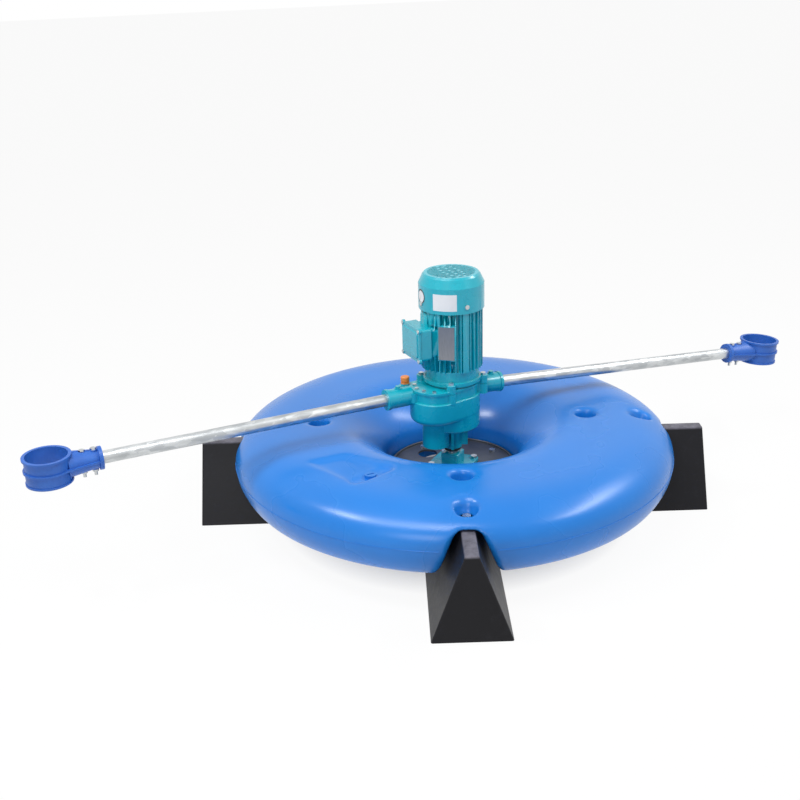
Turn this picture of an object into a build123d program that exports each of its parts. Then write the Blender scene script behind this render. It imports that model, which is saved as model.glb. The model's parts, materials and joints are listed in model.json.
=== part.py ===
from build123d import *
from math import cos, hypot, pi, radians, sin, sqrt, tan
import os

# Floating surge aerator: a geared motor stands on the axis of a hollow float ring that it turns.
# Four wedge blades under the ring push the water, and two tube arms with rings keep the motor
# from turning. Millimetres, +Z up, +X along the arms, origin on the rotor axis at the floor
# on which the blades stand.

# Float ring
float_radius = 600.0
float_underside = 94.0
float_wall = 6.0
foot_radius = 548.0
seam_height = 176.0
crest_radius = 428.0
crest_height = 264.0
lip_radius = 270.0
lip_height = 246.0
hole_radius = 178.0

# Mounting flange in the foot of the float's hole
flange_bore_radius = 130.0
flange_thickness = 20.0

# Wedge blades and the grooves and pockets that take them
blade_count = 4
blade_names = ("right", "back", "left", "front")
rotor_turn = -23.9
blade_outer_end = 700.0
blade_end_slope = 9.0
blade_inner_end = 328.0
blade_height = 216.0
blade_ridge_half = 15.5
blade_base_half = 95.0
blade_wall = 5.0
blade_edge_radius = 5.0
groove_clearance = 4.0
groove_corner_radius = 5.0
groove_mouth_length = 90.0
groove_mouth_ridge_half = 40.0
groove_mouth_base_half = 80.0
groove_mouth_corner_radius = 22.0
pocket_radii = (367.0, 522.0)
pocket_top_radius = 31.0
pocket_floor_radius = 23.0
pocket_floor_wall = 7.0
blade_bolt_radius = 6.0
blade_bolt_length = 34.0
blade_boss_radius = 13.0
blade_boss_length = 32.0

# Bung in the float's top, in a long shallow recess
bung_angle = -123.0
bung_distance = 412.0
bung_radius = 15.0
bung_recess_radius = 19.0
bung_depth = 12.0
bung_slot_length = 134.0
bung_slot_turn = 40.8

# Centre plate
plate_radius = 174.0
plate_thickness = 6.0
plate_rim_width = 5.0
plate_rim_height = 5.0
plate_bore_radius = 26.0
plate_hole_radius = 27.0
plate_hole_distance = 101.7
plate_hole_angle = 131.6
plate_bolt_distance = 141.0
plate_bolt_angle = 33.5
plate_bolt_radius = 5.0

# Hub
hub_turn = 63.0
hub_flange_side = 116.0
hub_flange_thickness = 8.0
hub_corner_radius = 16.0
hub_tower_side = 50.0
hub_height = 40.0
hub_bolt_spacing = 90.0
hub_bolt_radius = 5.0
key_width = 8.0
key_depth = 3.5

# Shafts and gears
output_shaft_radius = 14.0
output_shaft_end = 121.0
lay_shaft_radius = 8.5
motor_shaft_radius = 12.5
pinion_shank_radius = 6.0
lay_angle = 196.0
gear_module = 2.0
fast_pinion_teeth = 12
slow_pinion_teeth = 11
slow_gear_teeth = 51
tooth_thinning = 0.16
fast_gear_width = 14.0
slow_gear_width = 22.0
gear_gap = 8.0
running_fit = 0.05
seat_fit = 0.02

# Gear case: round about the rotor's axis and about the layshaft, and joined between them
case_radius = 76.0
case_lay_radius = 69.0
case_wall = 6.0
case_step_width = 6.0
case_rim_width = 13.0
bowl_height = 64.0
bowl_edge_radius = 16.0
upper_height = 24.0
tier_radius = 75.0
tier_height = 33.0
tier_edge_radius = 6.0
lay_boss_radius = 36.5
lay_boss_depth = 44.0
output_boss_radius = 26.0
output_boss_height = 66.0
output_boss_gap = 17.0
rib_reach = 42.0
rib_thickness = 8.0
rib_turn = -27.0
gasket_thickness = 1.0
cover_overhang = 3.0
cover_thickness = 7.0
cover_pad_radius = 70.0
cover_pad_height = 6.0
spigot_radius = 30.0
case_bolt_count = 4
case_bolt_step = 30.0
case_bolt_radius = 3.0
case_bolt_depth = 14.0
shoulder_reach = 136.0
shoulder_width = 92.0
shoulder_shift = 14.0
shoulder_thickness = 26.0
breather_boss_height = 5.0
breather_x = -120.0
breather_y = 45.0
breather_radius = 12.0
breather_height = 20.0
drain_plug_radius = 8.0
drain_boss_reach = 3.0

# Bearings and seals
bearing_width = 12.0
output_bearing_radius = 27.0
bush_radius = 20.0
lay_bearing_radius = 17.5
motor_bearing_radius = 23.5
seal_radius = 23.0
seal_height = 9.0
seal_seat = 10.0

# Arm sockets, arms and ring brackets
arm_below_split = 13.0
arm_droop = (4.0, 0.3)
arm_radius = 16.0
arm_wall = 2.5
socket_radius = 26.5
socket_length = (148.0, 199.0)
socket_depth = 66.0
socket_ring_radius = 28.5
socket_ring_width = 8.0
socket_screw_back = (29.0, 37.0)
socket_screw_radius = 4.0
socket_pad_radius = 10.0
socket_pad_height = 2.0
socket_fit = 0.2
half_length = 1133.0
ring_bore_radius = 50.0
ring_wall = 4.0
ring_flange_radius = 58.0
ring_foot_radius = 56.0
ring_flange_height = 5.0
ring_height = 68.0
bracket_length = 127.0
collar_radius = 29.0
collar_width = 9.0
bracket_neck_radius = 21.0
bracket_bolt_spots = (81.0, 108.0)
bracket_bolt_radius = 4.0
bracket_bolt_seat = 25.0
bracket_wing_half = 25.0
bracket_rib_thickness = 6.0
bracket_boss_radius = 9.0

# Motor
shield_flange_radius = 79.0
shield_flange_thickness = 10.0
shield_ear_radius = 12.5
shield_bolt_distance = 84.0
shield_bolt_turn = 61.0
shield_bolt_radius = 4.0
shield_bolt_depth = 30.0
shield_neck_radius = 73.0
shield_height = 40.0
frame_length = 170.0
frame_bore = 60.0
frame_body_radius = 66.0
fin_radius = 83.0
fin_thickness = 3.0
fin_count = 36
fin_pad_width = 18.0
name_pad_turn = -127.0
name_pad_width = 46.0
name_pad_reach = 81.0
raised_turn = -154.0
raised_arc = 28.0
raised_height = 40.0
stator_bore = 37.0
stator_rise = 32.0
stator_length = 100.0
winding_height = 18.0
winding_thickness = 15.0
air_gap = 0.5
rear_shield_thickness = 22.0
fan_gap = 7.0
fan_radius = 62.0
fan_blade_count = 8
fan_height = 22.0
fan_cover_radius = 87.5
fan_cover_wall = 1.5
fan_cover_overlap = 6.0
fan_cover_length = 94.0
fan_cover_crown = 27.0
fan_cover_top_radius = 76.0
fan_cover_fit = 0.3
grille_pitch = 9.5
grille_slot_width = 5.0
grille_reach = 64.0
grille_bridge = 6.0
cover_screw_radius = 3.0
cover_screw_rise = 13.0
cover_screw_length = 10.0

# Terminal box on the motor's left side
box_rise = 83.0
box_width = 98.0
box_height = 88.0
box_depth = 30.0
box_wall = 4.0
box_corner = 8.0
box_pad_reach = 84.0
box_gasket = 1.5
lid_width = 110.0
lid_height = 96.0
lid_thickness = 9.0
lid_ear_radius = 7.0
lid_screw_radius = 2.5
gland_radius = 11.0
gland_bore_radius = 6.0
gland_length = 20.0
block_width = 50.0
block_height = 30.0
block_step = 8.0

os.makedirs("parts", exist_ok=True)


def save(piece, label):
    """Labels a finished piece and writes it under its own name."""
    piece.part.label = label
    export_step(piece.part, "parts/" + label + ".step")


def disc(bottom, radius, thickness, bore, centre=(0, 0)):
    """A washer-shaped solid about a vertical axis."""
    with BuildPart() as piece:
        with BuildSketch(Plane.XY.offset(bottom)):
            with Locations(centre):
                Circle(radius)
                Circle(bore, mode=Mode.SUBTRACT)
        extrude(amount=thickness)
    return piece


def hex_bolts(seat, spots, radius, grip, head):
    """Hexagon head screws: heads stand on the seat plane, shanks run back through it."""
    with BuildPart() as screws:
        with BuildSketch(seat):
            with Locations(*spots):
                RegularPolygon(radius * 1.9, 6)
        extrude(amount=head)
        with BuildSketch(seat):
            with Locations(*spots):
                Circle(radius)
        extrude(amount=-grip)
    return screws


def circle_spots(distance, count, first, centre=(0, 0)):
    """Points spaced evenly on a circle."""
    angles = [radians(first + 360.0 * k / count) for k in range(count)]
    return [(centre[0] + distance * cos(a), centre[1] + distance * sin(a)) for a in angles]


def tooth_outline(teeth, module):
    """One tapered tooth along +X, from under the root circle to the tip circle."""
    pitch = teeth * module / 2
    half = pi * module / 4 - tooth_thinning * module / 2
    slope = tan(radians(20))
    root, tip = pitch - 1.25 * module, pitch + 0.9 * module
    root_half, tip_half = half + 0.55 * module * slope, half - 0.9 * module * slope
    side = [(root - 0.4, root_half), (root, root_half), (pitch, half), (tip, tip_half)]
    return side + [(x, -y) for x, y in reversed(side)]


def gear(bottom, width, teeth, module, bore, centre, first):
    """A spur gear whose first tooth points in the direction first, in degrees."""
    with BuildPart() as wheel:
        with BuildSketch(Plane((centre[0], centre[1], bottom))):
            Circle((teeth / 2 - 1.25) * module)
            with PolarLocations(0, teeth, start_angle=first):
                Polygon(*tooth_outline(teeth, module), align=None)
            if bore:
                Circle(bore, mode=Mode.SUBTRACT)
        extrude(amount=width)
    return wheel


# Both gear stages share one centre distance, so the motor stands on the rotor's axis
fast_gear_teeth = slow_pinion_teeth + slow_gear_teeth - fast_pinion_teeth
centre_distance = gear_module * (slow_pinion_teeth + slow_gear_teeth) / 2
lay_centre = (centre_distance * cos(radians(lay_angle)), centre_distance * sin(radians(lay_angle)))

# Heights, each standing on the one below
plate_seat = float_underside + flange_thickness
hub_seat = plate_seat + plate_thickness
hub_top = hub_seat + hub_height
output_boss_underside = hub_top + output_boss_gap
tier_underside = output_boss_underside + output_boss_height
lay_boss_underside = tier_underside - lay_boss_depth
bowl_underside = tier_underside + tier_height
case_step = bowl_underside + bowl_height
case_split = case_step + upper_height
arm_height = case_split - arm_below_split
cover_base = case_split + gasket_thickness
motor_seat = cover_base + cover_thickness + cover_pad_height
frame_bottom = motor_seat + shield_height
frame_top = frame_bottom + frame_length
stator_bottom = frame_bottom + stator_rise
fan_bottom = frame_top + rear_shield_thickness + fan_gap
fan_cover_bottom = frame_top - fan_cover_overlap
fan_cover_top = fan_cover_bottom + fan_cover_length
fan_cover_shoulder = fan_cover_top - fan_cover_crown
box_height_middle = frame_bottom + box_rise
tier_floor = tier_underside + case_wall
bowl_floor = bowl_underside + case_wall
output_bearing_bottom = tier_floor + 3
slow_gear_bottom = output_bearing_bottom + bearing_width + 4
fast_gear_bottom = slow_gear_bottom + slow_gear_width + gear_gap


# Float ring: the outer form and its hollow are turned from one outline, the hollow's moved in
mid_share = 0.5 ** (1 / 2.3)
lip_slope = 0.44


def float_section(inset):
    """Half the float's section, with every side moved in by a wall thickness."""
    low, top = float_underside + inset, crest_height - inset
    inner, outer = hole_radius + inset, float_radius - inset
    rise, run = mid_share * (top - seam_height), mid_share * (outer - crest_radius)
    lip_side = hypot(1, lip_slope)
    with BuildSketch(Plane.XZ) as section:
        with BuildLine():
            Polyline((inner, plate_seat + inset), (inner, low), (foot_radius, low))
            Spline(
                (foot_radius, low),
                (outer - 16 * (1 - inset / 40), float_underside + 27 + 0.55 * inset),
                (outer, seam_height),
                tangents=((1, 0.1), (0, 1)),
            )
            Spline(
                (outer, seam_height),
                (crest_radius + run, seam_height + rise),
                (crest_radius, top),
                tangents=((0, 1), (-1, 0)),
            )
            Spline(
                (crest_radius, top),
                (lip_radius + inset * lip_slope / lip_side, lip_height - inset / lip_side),
                (inner + 14, (plate_seat + lip_height) / 2),
                (inner, plate_seat + inset),
                tangents=((-1, 0), (0, -1)),
            )
        make_face()
    return section.sketch


def wedge_outline(margin, top_margin):
    """The blade's cross-section, with its flanks and foot moved out by a margin."""
    slope = (blade_base_half - blade_ridge_half) / blade_height
    side = margin * sqrt(1 + slope**2)
    foot = blade_base_half + side + slope * margin
    top = blade_ridge_half + side - slope * top_margin
    height = blade_height + top_margin
    return [(-foot, -margin), (foot, -margin), (top, height), (-top, height)]


def mouth_outline(margin, wall):
    """The wide opening of a groove at the float's rim."""
    slope = (groove_mouth_base_half - groove_mouth_ridge_half) / (blade_height - float_underside)
    foot = groove_mouth_base_half + slope * (float_underside + margin) + wall
    top = groove_mouth_ridge_half + wall
    return [(-foot, -margin), (foot, -margin), (top, blade_height + wall), (-top, blade_height + wall)]


def upright(distance):
    """A plane across the blade at a distance from the axis, x sideways and y up."""
    return Plane((distance, 0, 0), x_dir=(0, 1, 0), z_dir=(1, 0, 0))


def groove(wall):
    """The space cut under the float for one blade, grown by a wall thickness."""
    margin = groove_clearance + wall
    start = blade_inner_end - margin
    mouth_start, mouth_end = float_radius - groove_mouth_length, float_radius + 1
    narrow, wide = wedge_outline(margin, wall), mouth_outline(margin, wall)
    with BuildPart() as space:
        with BuildSketch(upright(start)) as section:
            Polygon(*narrow, align=None)
            fillet(section.vertices().group_by(Axis.Y)[-1], groove_corner_radius + wall)
        extrude(amount=mouth_start - start)
        with BuildSketch(upright(mouth_start)) as section:
            Polygon(*narrow, align=None)
            fillet(section.vertices().group_by(Axis.Y)[-1], groove_corner_radius + wall)
        with BuildSketch(upright(mouth_end)) as section:
            Polygon(*wide, align=None)
            fillet(section.vertices().group_by(Axis.Y)[-1], groove_mouth_corner_radius + wall)
        loft(ruled=True)
    return space.part


def pocket(distance, wall):
    """One bolt pocket from the float's top down to the groove's roof, grown by a wall."""
    floor = blade_height + pocket_floor_wall - wall
    with BuildPart() as space:
        with BuildSketch(Plane((distance, 0, floor))):
            Circle(pocket_floor_radius + wall)
        with BuildSketch(Plane((distance, 0, crest_height + 1))):
            Circle(pocket_top_radius + wall)
        loft()
    return space.part


def wedge(inset):
    """The blade's wedge along +X with its leaning outer end, all its sides moved in by a wall."""
    start, end = blade_inner_end + inset, blade_outer_end - inset
    lean = blade_end_slope / blade_height
    above = blade_height + 10
    cut = [(end + lean, -1), (end + 50, -1), (end + 50, above), (end - lean * above, above)]
    with BuildPart() as piece:
        with BuildSketch(upright(start)):
            Polygon(*wedge_outline(-inset, -inset), align=None)
        extrude(amount=end - start)
        with BuildSketch(Plane.XZ):
            Polygon(*cut, align=None)
        extrude(amount=2 * blade_base_half, both=True, mode=Mode.SUBTRACT)
    return piece.part


def blade(turn):
    """One hollow wedge blade, its outer end leaning in a little towards the ridge."""
    bolt_spots = [(distance, 0) for distance in pocket_radii]
    with BuildPart() as piece:
        add(wedge(0))
        fillet(piece.edges().filter_by(lambda edge: edge.center().Z > 1), blade_edge_radius)
        add(wedge(blade_wall), mode=Mode.SUBTRACT)
        with BuildSketch(Plane.XY.offset(blade_height - blade_wall / 2)):
            with Locations(*bolt_spots):
                Circle(blade_boss_radius)
        extrude(amount=-blade_boss_length)
        with BuildSketch(Plane.XY.offset(blade_height + 1)):
            with Locations(*bolt_spots):
                Circle(blade_bolt_radius + seat_fit)
        extrude(amount=-blade_bolt_length, mode=Mode.SUBTRACT)
    return piece.part.rotate(Axis.Z, turn)


def bung_slot(floor, margin):
    """The long recess round the bung, from its floor up through the float's top."""
    with BuildPart() as space:
        with BuildSketch(Plane((*bung_spot, floor))):
            with Locations(Location((0, 0, 0), (0, 0, bung_slot_turn + rotor_turn))):
                SlotOverall(bung_slot_length + 2 * margin, 2 * (bung_recess_radius + margin))
        extrude(amount=crest_height)
    return space.part


outer_groove, inner_groove = groove(0), groove(float_wall)
outer_pockets = [pocket(distance, 0) for distance in pocket_radii]
inner_pockets = [pocket(distance, float_wall) for distance in pocket_radii]
bung_spot = circle_spots(bung_distance, 1, bung_angle + rotor_turn)[0]
bung_floor = crest_height - bung_depth

with BuildPart() as float_void:
    revolve(float_section(float_wall), Axis.Z)
    with PolarLocations(0, blade_count, start_angle=rotor_turn):
        add(inner_groove, mode=Mode.SUBTRACT)
        for space in inner_pockets:
            add(space, mode=Mode.SUBTRACT)
    add(bung_slot(bung_floor - float_wall, float_wall), mode=Mode.SUBTRACT)

with BuildPart() as float_ring:
    revolve(float_section(0), Axis.Z)
    with PolarLocations(0, blade_count, start_angle=rotor_turn):
        add(outer_groove, mode=Mode.SUBTRACT)
        for space in outer_pockets:
            add(space, mode=Mode.SUBTRACT)
    for distance in pocket_radii:
        with BuildSketch(Plane.XY.offset(blade_height - 1)):
            with PolarLocations(distance, blade_count, start_angle=rotor_turn):
                Circle(blade_bolt_radius + running_fit)
        extrude(amount=pocket_floor_wall + 2, mode=Mode.SUBTRACT)
    add(bung_slot(bung_floor, 0), mode=Mode.SUBTRACT)
    add(float_void.part, mode=Mode.SUBTRACT)
save(float_ring, "float_ring")

# Mounting flange set into the foot of the float's hole, which carries the centre plate
with BuildPart() as float_flange:
    with BuildSketch(Plane.XY.offset(float_underside)):
        Circle(hole_radius - seat_fit)
        Circle(flange_bore_radius, mode=Mode.SUBTRACT)
        with PolarLocations(plate_bolt_distance, 4, start_angle=plate_bolt_angle + rotor_turn):
            Circle(plate_bolt_radius + running_fit, mode=Mode.SUBTRACT)
    extrude(amount=flange_thickness)
save(float_flange, "float_flange")

# Screw bung that closes the float's air hole, seated on the floor of its recess
with BuildPart() as float_bung:
    with BuildSketch(Plane((*bung_spot, bung_floor))):
        Circle(bung_radius)
    extrude(amount=bung_depth - 3)
    with BuildSketch(Plane((*bung_spot, bung_floor + bung_depth - 3))):
        SlotOverall(1.4 * bung_radius, 4)
    extrude(amount=-3, mode=Mode.SUBTRACT)
save(float_bung, "float_bung")

for place, name in enumerate(blade_names):
    turned = blade(rotor_turn + 90.0 * place)
    turned.label = "blade_" + name
    export_step(turned, "parts/blade_" + name + ".step")

# Bolts that hold the blades, with their heads on the pocket floors
blade_spots = [spot for d in pocket_radii for spot in circle_spots(d, blade_count, rotor_turn)]
blade_bolts = hex_bolts(Plane.XY.offset(blade_height + pocket_floor_wall), blade_spots,
                        blade_bolt_radius, blade_bolt_length, 8)
save(blade_bolts, "blade_bolts")

# Centre plate: a disc with a raised rim that lies on the mounting flange
with BuildPart() as centre_plate:
    with BuildSketch(Plane.XY.offset(plate_seat)):
        Circle(plate_radius)
    extrude(amount=plate_thickness)
    with BuildSketch(Plane.XY.offset(hub_seat)):
        Circle(plate_radius)
        Circle(plate_radius - plate_rim_width, mode=Mode.SUBTRACT)
    extrude(amount=plate_rim_height)
    fillet(centre_plate.edges().group_by(Axis.Z)[-1], 1.5)
    with BuildSketch(Plane.XY.offset(plate_seat - 1)):
        Circle(plate_bore_radius)
        with PolarLocations(plate_hole_distance, 2, start_angle=plate_hole_angle + rotor_turn):
            Circle(plate_hole_radius)
        with PolarLocations(plate_bolt_distance, 4, start_angle=plate_bolt_angle + rotor_turn):
            Circle(plate_bolt_radius + running_fit)
        with Locations(Location((0, 0, 0), (0, 0, hub_turn + rotor_turn))):
            with GridLocations(hub_bolt_spacing, hub_bolt_spacing, 2, 2):
                Circle(hub_bolt_radius + running_fit)
    extrude(amount=plate_thickness + 2, mode=Mode.SUBTRACT)
save(centre_plate, "centre_plate")

plate_spots = circle_spots(plate_bolt_distance, 4, plate_bolt_angle + rotor_turn)
plate_bolts = hex_bolts(Plane.XY.offset(hub_seat), plate_spots, plate_bolt_radius,
                        plate_thickness + flange_thickness + 16, 6)
save(plate_bolts, "plate_bolts")


def nuts(face_height, spots, radius, thickness):
    """Hexagon nuts hanging from a face, bored to pass the screw."""
    with BuildPart() as group:
        with BuildSketch(Plane.XY.offset(face_height)):
            with Locations(*spots):
                RegularPolygon(radius * 1.9, 6)
                Circle(radius + seat_fit, mode=Mode.SUBTRACT)
        extrude(amount=-thickness)
    return group


save(nuts(float_underside, plate_spots, plate_bolt_radius, 8), "plate_nuts")

# Hub: square flange and tower, turned against the blades
hub_plane = Plane((0, 0, hub_seat)).rotated((0, 0, hub_turn + rotor_turn))
with BuildPart() as hub:
    with BuildSketch(hub_plane):
        RectangleRounded(hub_flange_side, hub_flange_side, hub_corner_radius)
    extrude(amount=hub_flange_thickness)
    with BuildSketch(hub_plane):
        RectangleRounded(hub_tower_side, hub_tower_side, 4)
    extrude(amount=hub_top - hub_seat)
    chamfer(hub.edges().group_by(Axis.Z)[-1], 2)
    with BuildSketch(hub_plane):
        Circle(output_shaft_radius + seat_fit)
        with Locations((output_shaft_radius, 0)):
            Rectangle(2 * key_depth, key_width + 2 * seat_fit)
    extrude(amount=hub_top, mode=Mode.SUBTRACT)
    with BuildSketch(hub_plane):
        with GridLocations(hub_bolt_spacing, hub_bolt_spacing, 2, 2):
            Circle(hub_bolt_radius + running_fit)
    extrude(amount=hub_flange_thickness, mode=Mode.SUBTRACT)
save(hub, "hub")

hub_spots = circle_spots(hub_bolt_spacing / sqrt(2), 4, hub_turn + rotor_turn + 45)
hub_bolts = hex_bolts(Plane.XY.offset(hub_seat + hub_flange_thickness), hub_spots, hub_bolt_radius,
                      hub_flange_thickness + plate_thickness + 14, 7)
save(hub_bolts, "hub_bolts")
save(nuts(plate_seat, hub_spots, hub_bolt_radius, 8), "hub_nuts")

# Output shaft, its key, gear and the retaining screw under the hub
shaft_top = slow_gear_bottom + slow_gear_width + 4
with BuildPart() as output_shaft:
    with BuildSketch(Plane.XY.offset(output_shaft_end)):
        Circle(output_shaft_radius)
    extrude(amount=shaft_top - output_shaft_end)
    chamfer(output_shaft.edges(), 1)
    with BuildSketch(hub_plane):
        with Locations((output_shaft_radius, 0)):
            Rectangle(2 * key_depth, key_width)
    extrude(amount=hub_top - hub_seat, mode=Mode.SUBTRACT)
    with BuildSketch(Plane.XY.offset(output_shaft_end)):
        Circle(plate_bolt_radius)
    extrude(amount=26, mode=Mode.SUBTRACT)
save(output_shaft, "output_shaft")

with BuildPart() as hub_key:
    with BuildSketch(hub_plane.offset(2)):
        with Locations((output_shaft_radius, 0)):
            Rectangle(2 * key_depth - 2 * seat_fit, key_width - 2 * seat_fit)
    extrude(amount=hub_top - hub_seat - 4)
save(hub_key, "hub_key")

with BuildPart() as shaft_retainer:
    with BuildSketch(Plane.XY.offset(hub_seat)):
        Circle(plate_bore_radius - 2)
    extrude(amount=-5)
    with BuildSketch(Plane.XY.offset(hub_seat - 5)):
        RegularPolygon(9, 6)
    extrude(amount=-6)
    with BuildSketch(Plane.XY.offset(hub_seat)):
        Circle(plate_bolt_radius)
    extrude(amount=output_shaft_end - hub_seat + 20)
save(shaft_retainer, "shaft_retainer")

output_gear = gear(slow_gear_bottom, slow_gear_width, slow_gear_teeth, gear_module,
                   output_shaft_radius + seat_fit, (0, 0), lay_angle)
save(output_gear, "output_gear")

# Layshaft with its own small pinion, and the large first-stage gear on it
lay_bottom = lay_boss_underside + case_wall + 3
lay_top = case_split
with BuildPart() as lay_shaft:
    add(gear(slow_gear_bottom - 2, slow_gear_width + 4, slow_pinion_teeth, gear_module, 0,
             lay_centre, lay_angle + 180 + 180 / slow_pinion_teeth).part)
    with BuildSketch(Plane((*lay_centre, lay_bottom + 1))):
        Circle(lay_shaft_radius)
    extrude(amount=lay_top - lay_bottom - 2)
save(lay_shaft, "lay_shaft")
lay_gear = gear(fast_gear_bottom, fast_gear_width, fast_gear_teeth, gear_module,
                lay_shaft_radius + seat_fit, lay_centre, lay_angle - 180)
save(lay_gear, "lay_gear")

# Bearings: one plain ring each, bored to run on its shaft
bush_bottom = output_boss_underside + seal_seat + 4
lay_top_bearing_bottom = lay_top - bearing_width
save(disc(bush_bottom, bush_radius, bearing_width, output_shaft_radius + running_fit), "output_bush")
save(disc(output_bearing_bottom, output_bearing_radius, bearing_width,
          output_shaft_radius + running_fit), "output_bearing")
save(disc(lay_bottom, lay_bearing_radius, bearing_width, lay_shaft_radius + running_fit, lay_centre),
     "lay_bearing_lower")
save(disc(lay_top_bearing_bottom, lay_bearing_radius, bearing_width, lay_shaft_radius + running_fit,
          lay_centre), "lay_bearing_upper")

# Shaft seal in the mouth of the output boss, standing a little proud of it
save(disc(output_boss_underside - seal_height, seal_radius, seal_height + seal_seat,
          output_shaft_radius + running_fit), "output_seal")


def arm_way(side, along):
    """A plane across an arm at a distance from the rotor axis, looking outwards, y up."""
    droop = radians(arm_droop[0] if side > 0 else arm_droop[1])
    out = (side * cos(droop), 0, -sin(droop))
    return Plane((out[0] * along, 0, arm_height + out[2] * along), x_dir=(0, side, 0), z_dir=out)


def screw_seat(side):
    """The top of the pad on an arm socket where its clamping screw sits."""
    way = arm_way(side, socket_ends[side] - screw_backs[side])
    top = way.origin + way.y_dir * (socket_radius + socket_pad_height)
    return Plane(top, x_dir=way.z_dir, z_dir=way.y_dir)


socket_ends = {1: socket_length[0], -1: socket_length[1]}
screw_backs = {1: socket_screw_back[0], -1: socket_screw_back[1]}

# Main case: stepped bowl, lower tier for the output gear, two bosses, ribs, lugs and arm sockets
rotor_axis_spot = (0, 0)
upper_radius = case_radius - case_step_width
upper_lay_radius = case_lay_radius - case_step_width
case_bolt_circle = upper_lay_radius - case_rim_width / 2
case_bolt_first = lay_angle - case_bolt_step * (case_bolt_count - 1) / 2
case_bolt_angles = [radians(case_bolt_first + case_bolt_step * k) for k in range(case_bolt_count)]
cover_bolt_spots = [
    (lay_centre[0] + case_bolt_circle * cos(a), lay_centre[1] + case_bolt_circle * sin(a))
    for a in case_bolt_angles
]
ear_spots = circle_spots(shield_bolt_distance, 4, shield_bolt_turn)
drain_height = (tier_underside + bowl_underside) / 2
drain_seat = Plane((0, tier_radius + drain_boss_reach, drain_height), x_dir=(1, 0, 0), z_dir=(0, 1, 0))


def case_plan(bottom, margin):
    """The case's plan: a circle about each shaft and the straight sides that join them."""
    with BuildSketch(Plane.XY.offset(bottom)) as plan:
        with Locations(rotor_axis_spot):
            Circle(case_radius + margin)
        with Locations(lay_centre):
            Circle(case_lay_radius + margin)
        make_hull()
    return plan.sketch


def ear_plan(bottom, margin):
    """Four lugs round the rotor's axis that take the motor's flange bolts."""
    width = 1.6 * shield_ear_radius + 2 * margin
    with BuildSketch(Plane.XY.offset(bottom)) as plan:
        with PolarLocations(0, 4, start_angle=shield_bolt_turn):
            Rectangle(shield_bolt_distance, width, align=(Align.MIN, Align.CENTER))
        with Locations(*ear_spots):
            Circle(shield_ear_radius + margin)
    return plan.sketch


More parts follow.
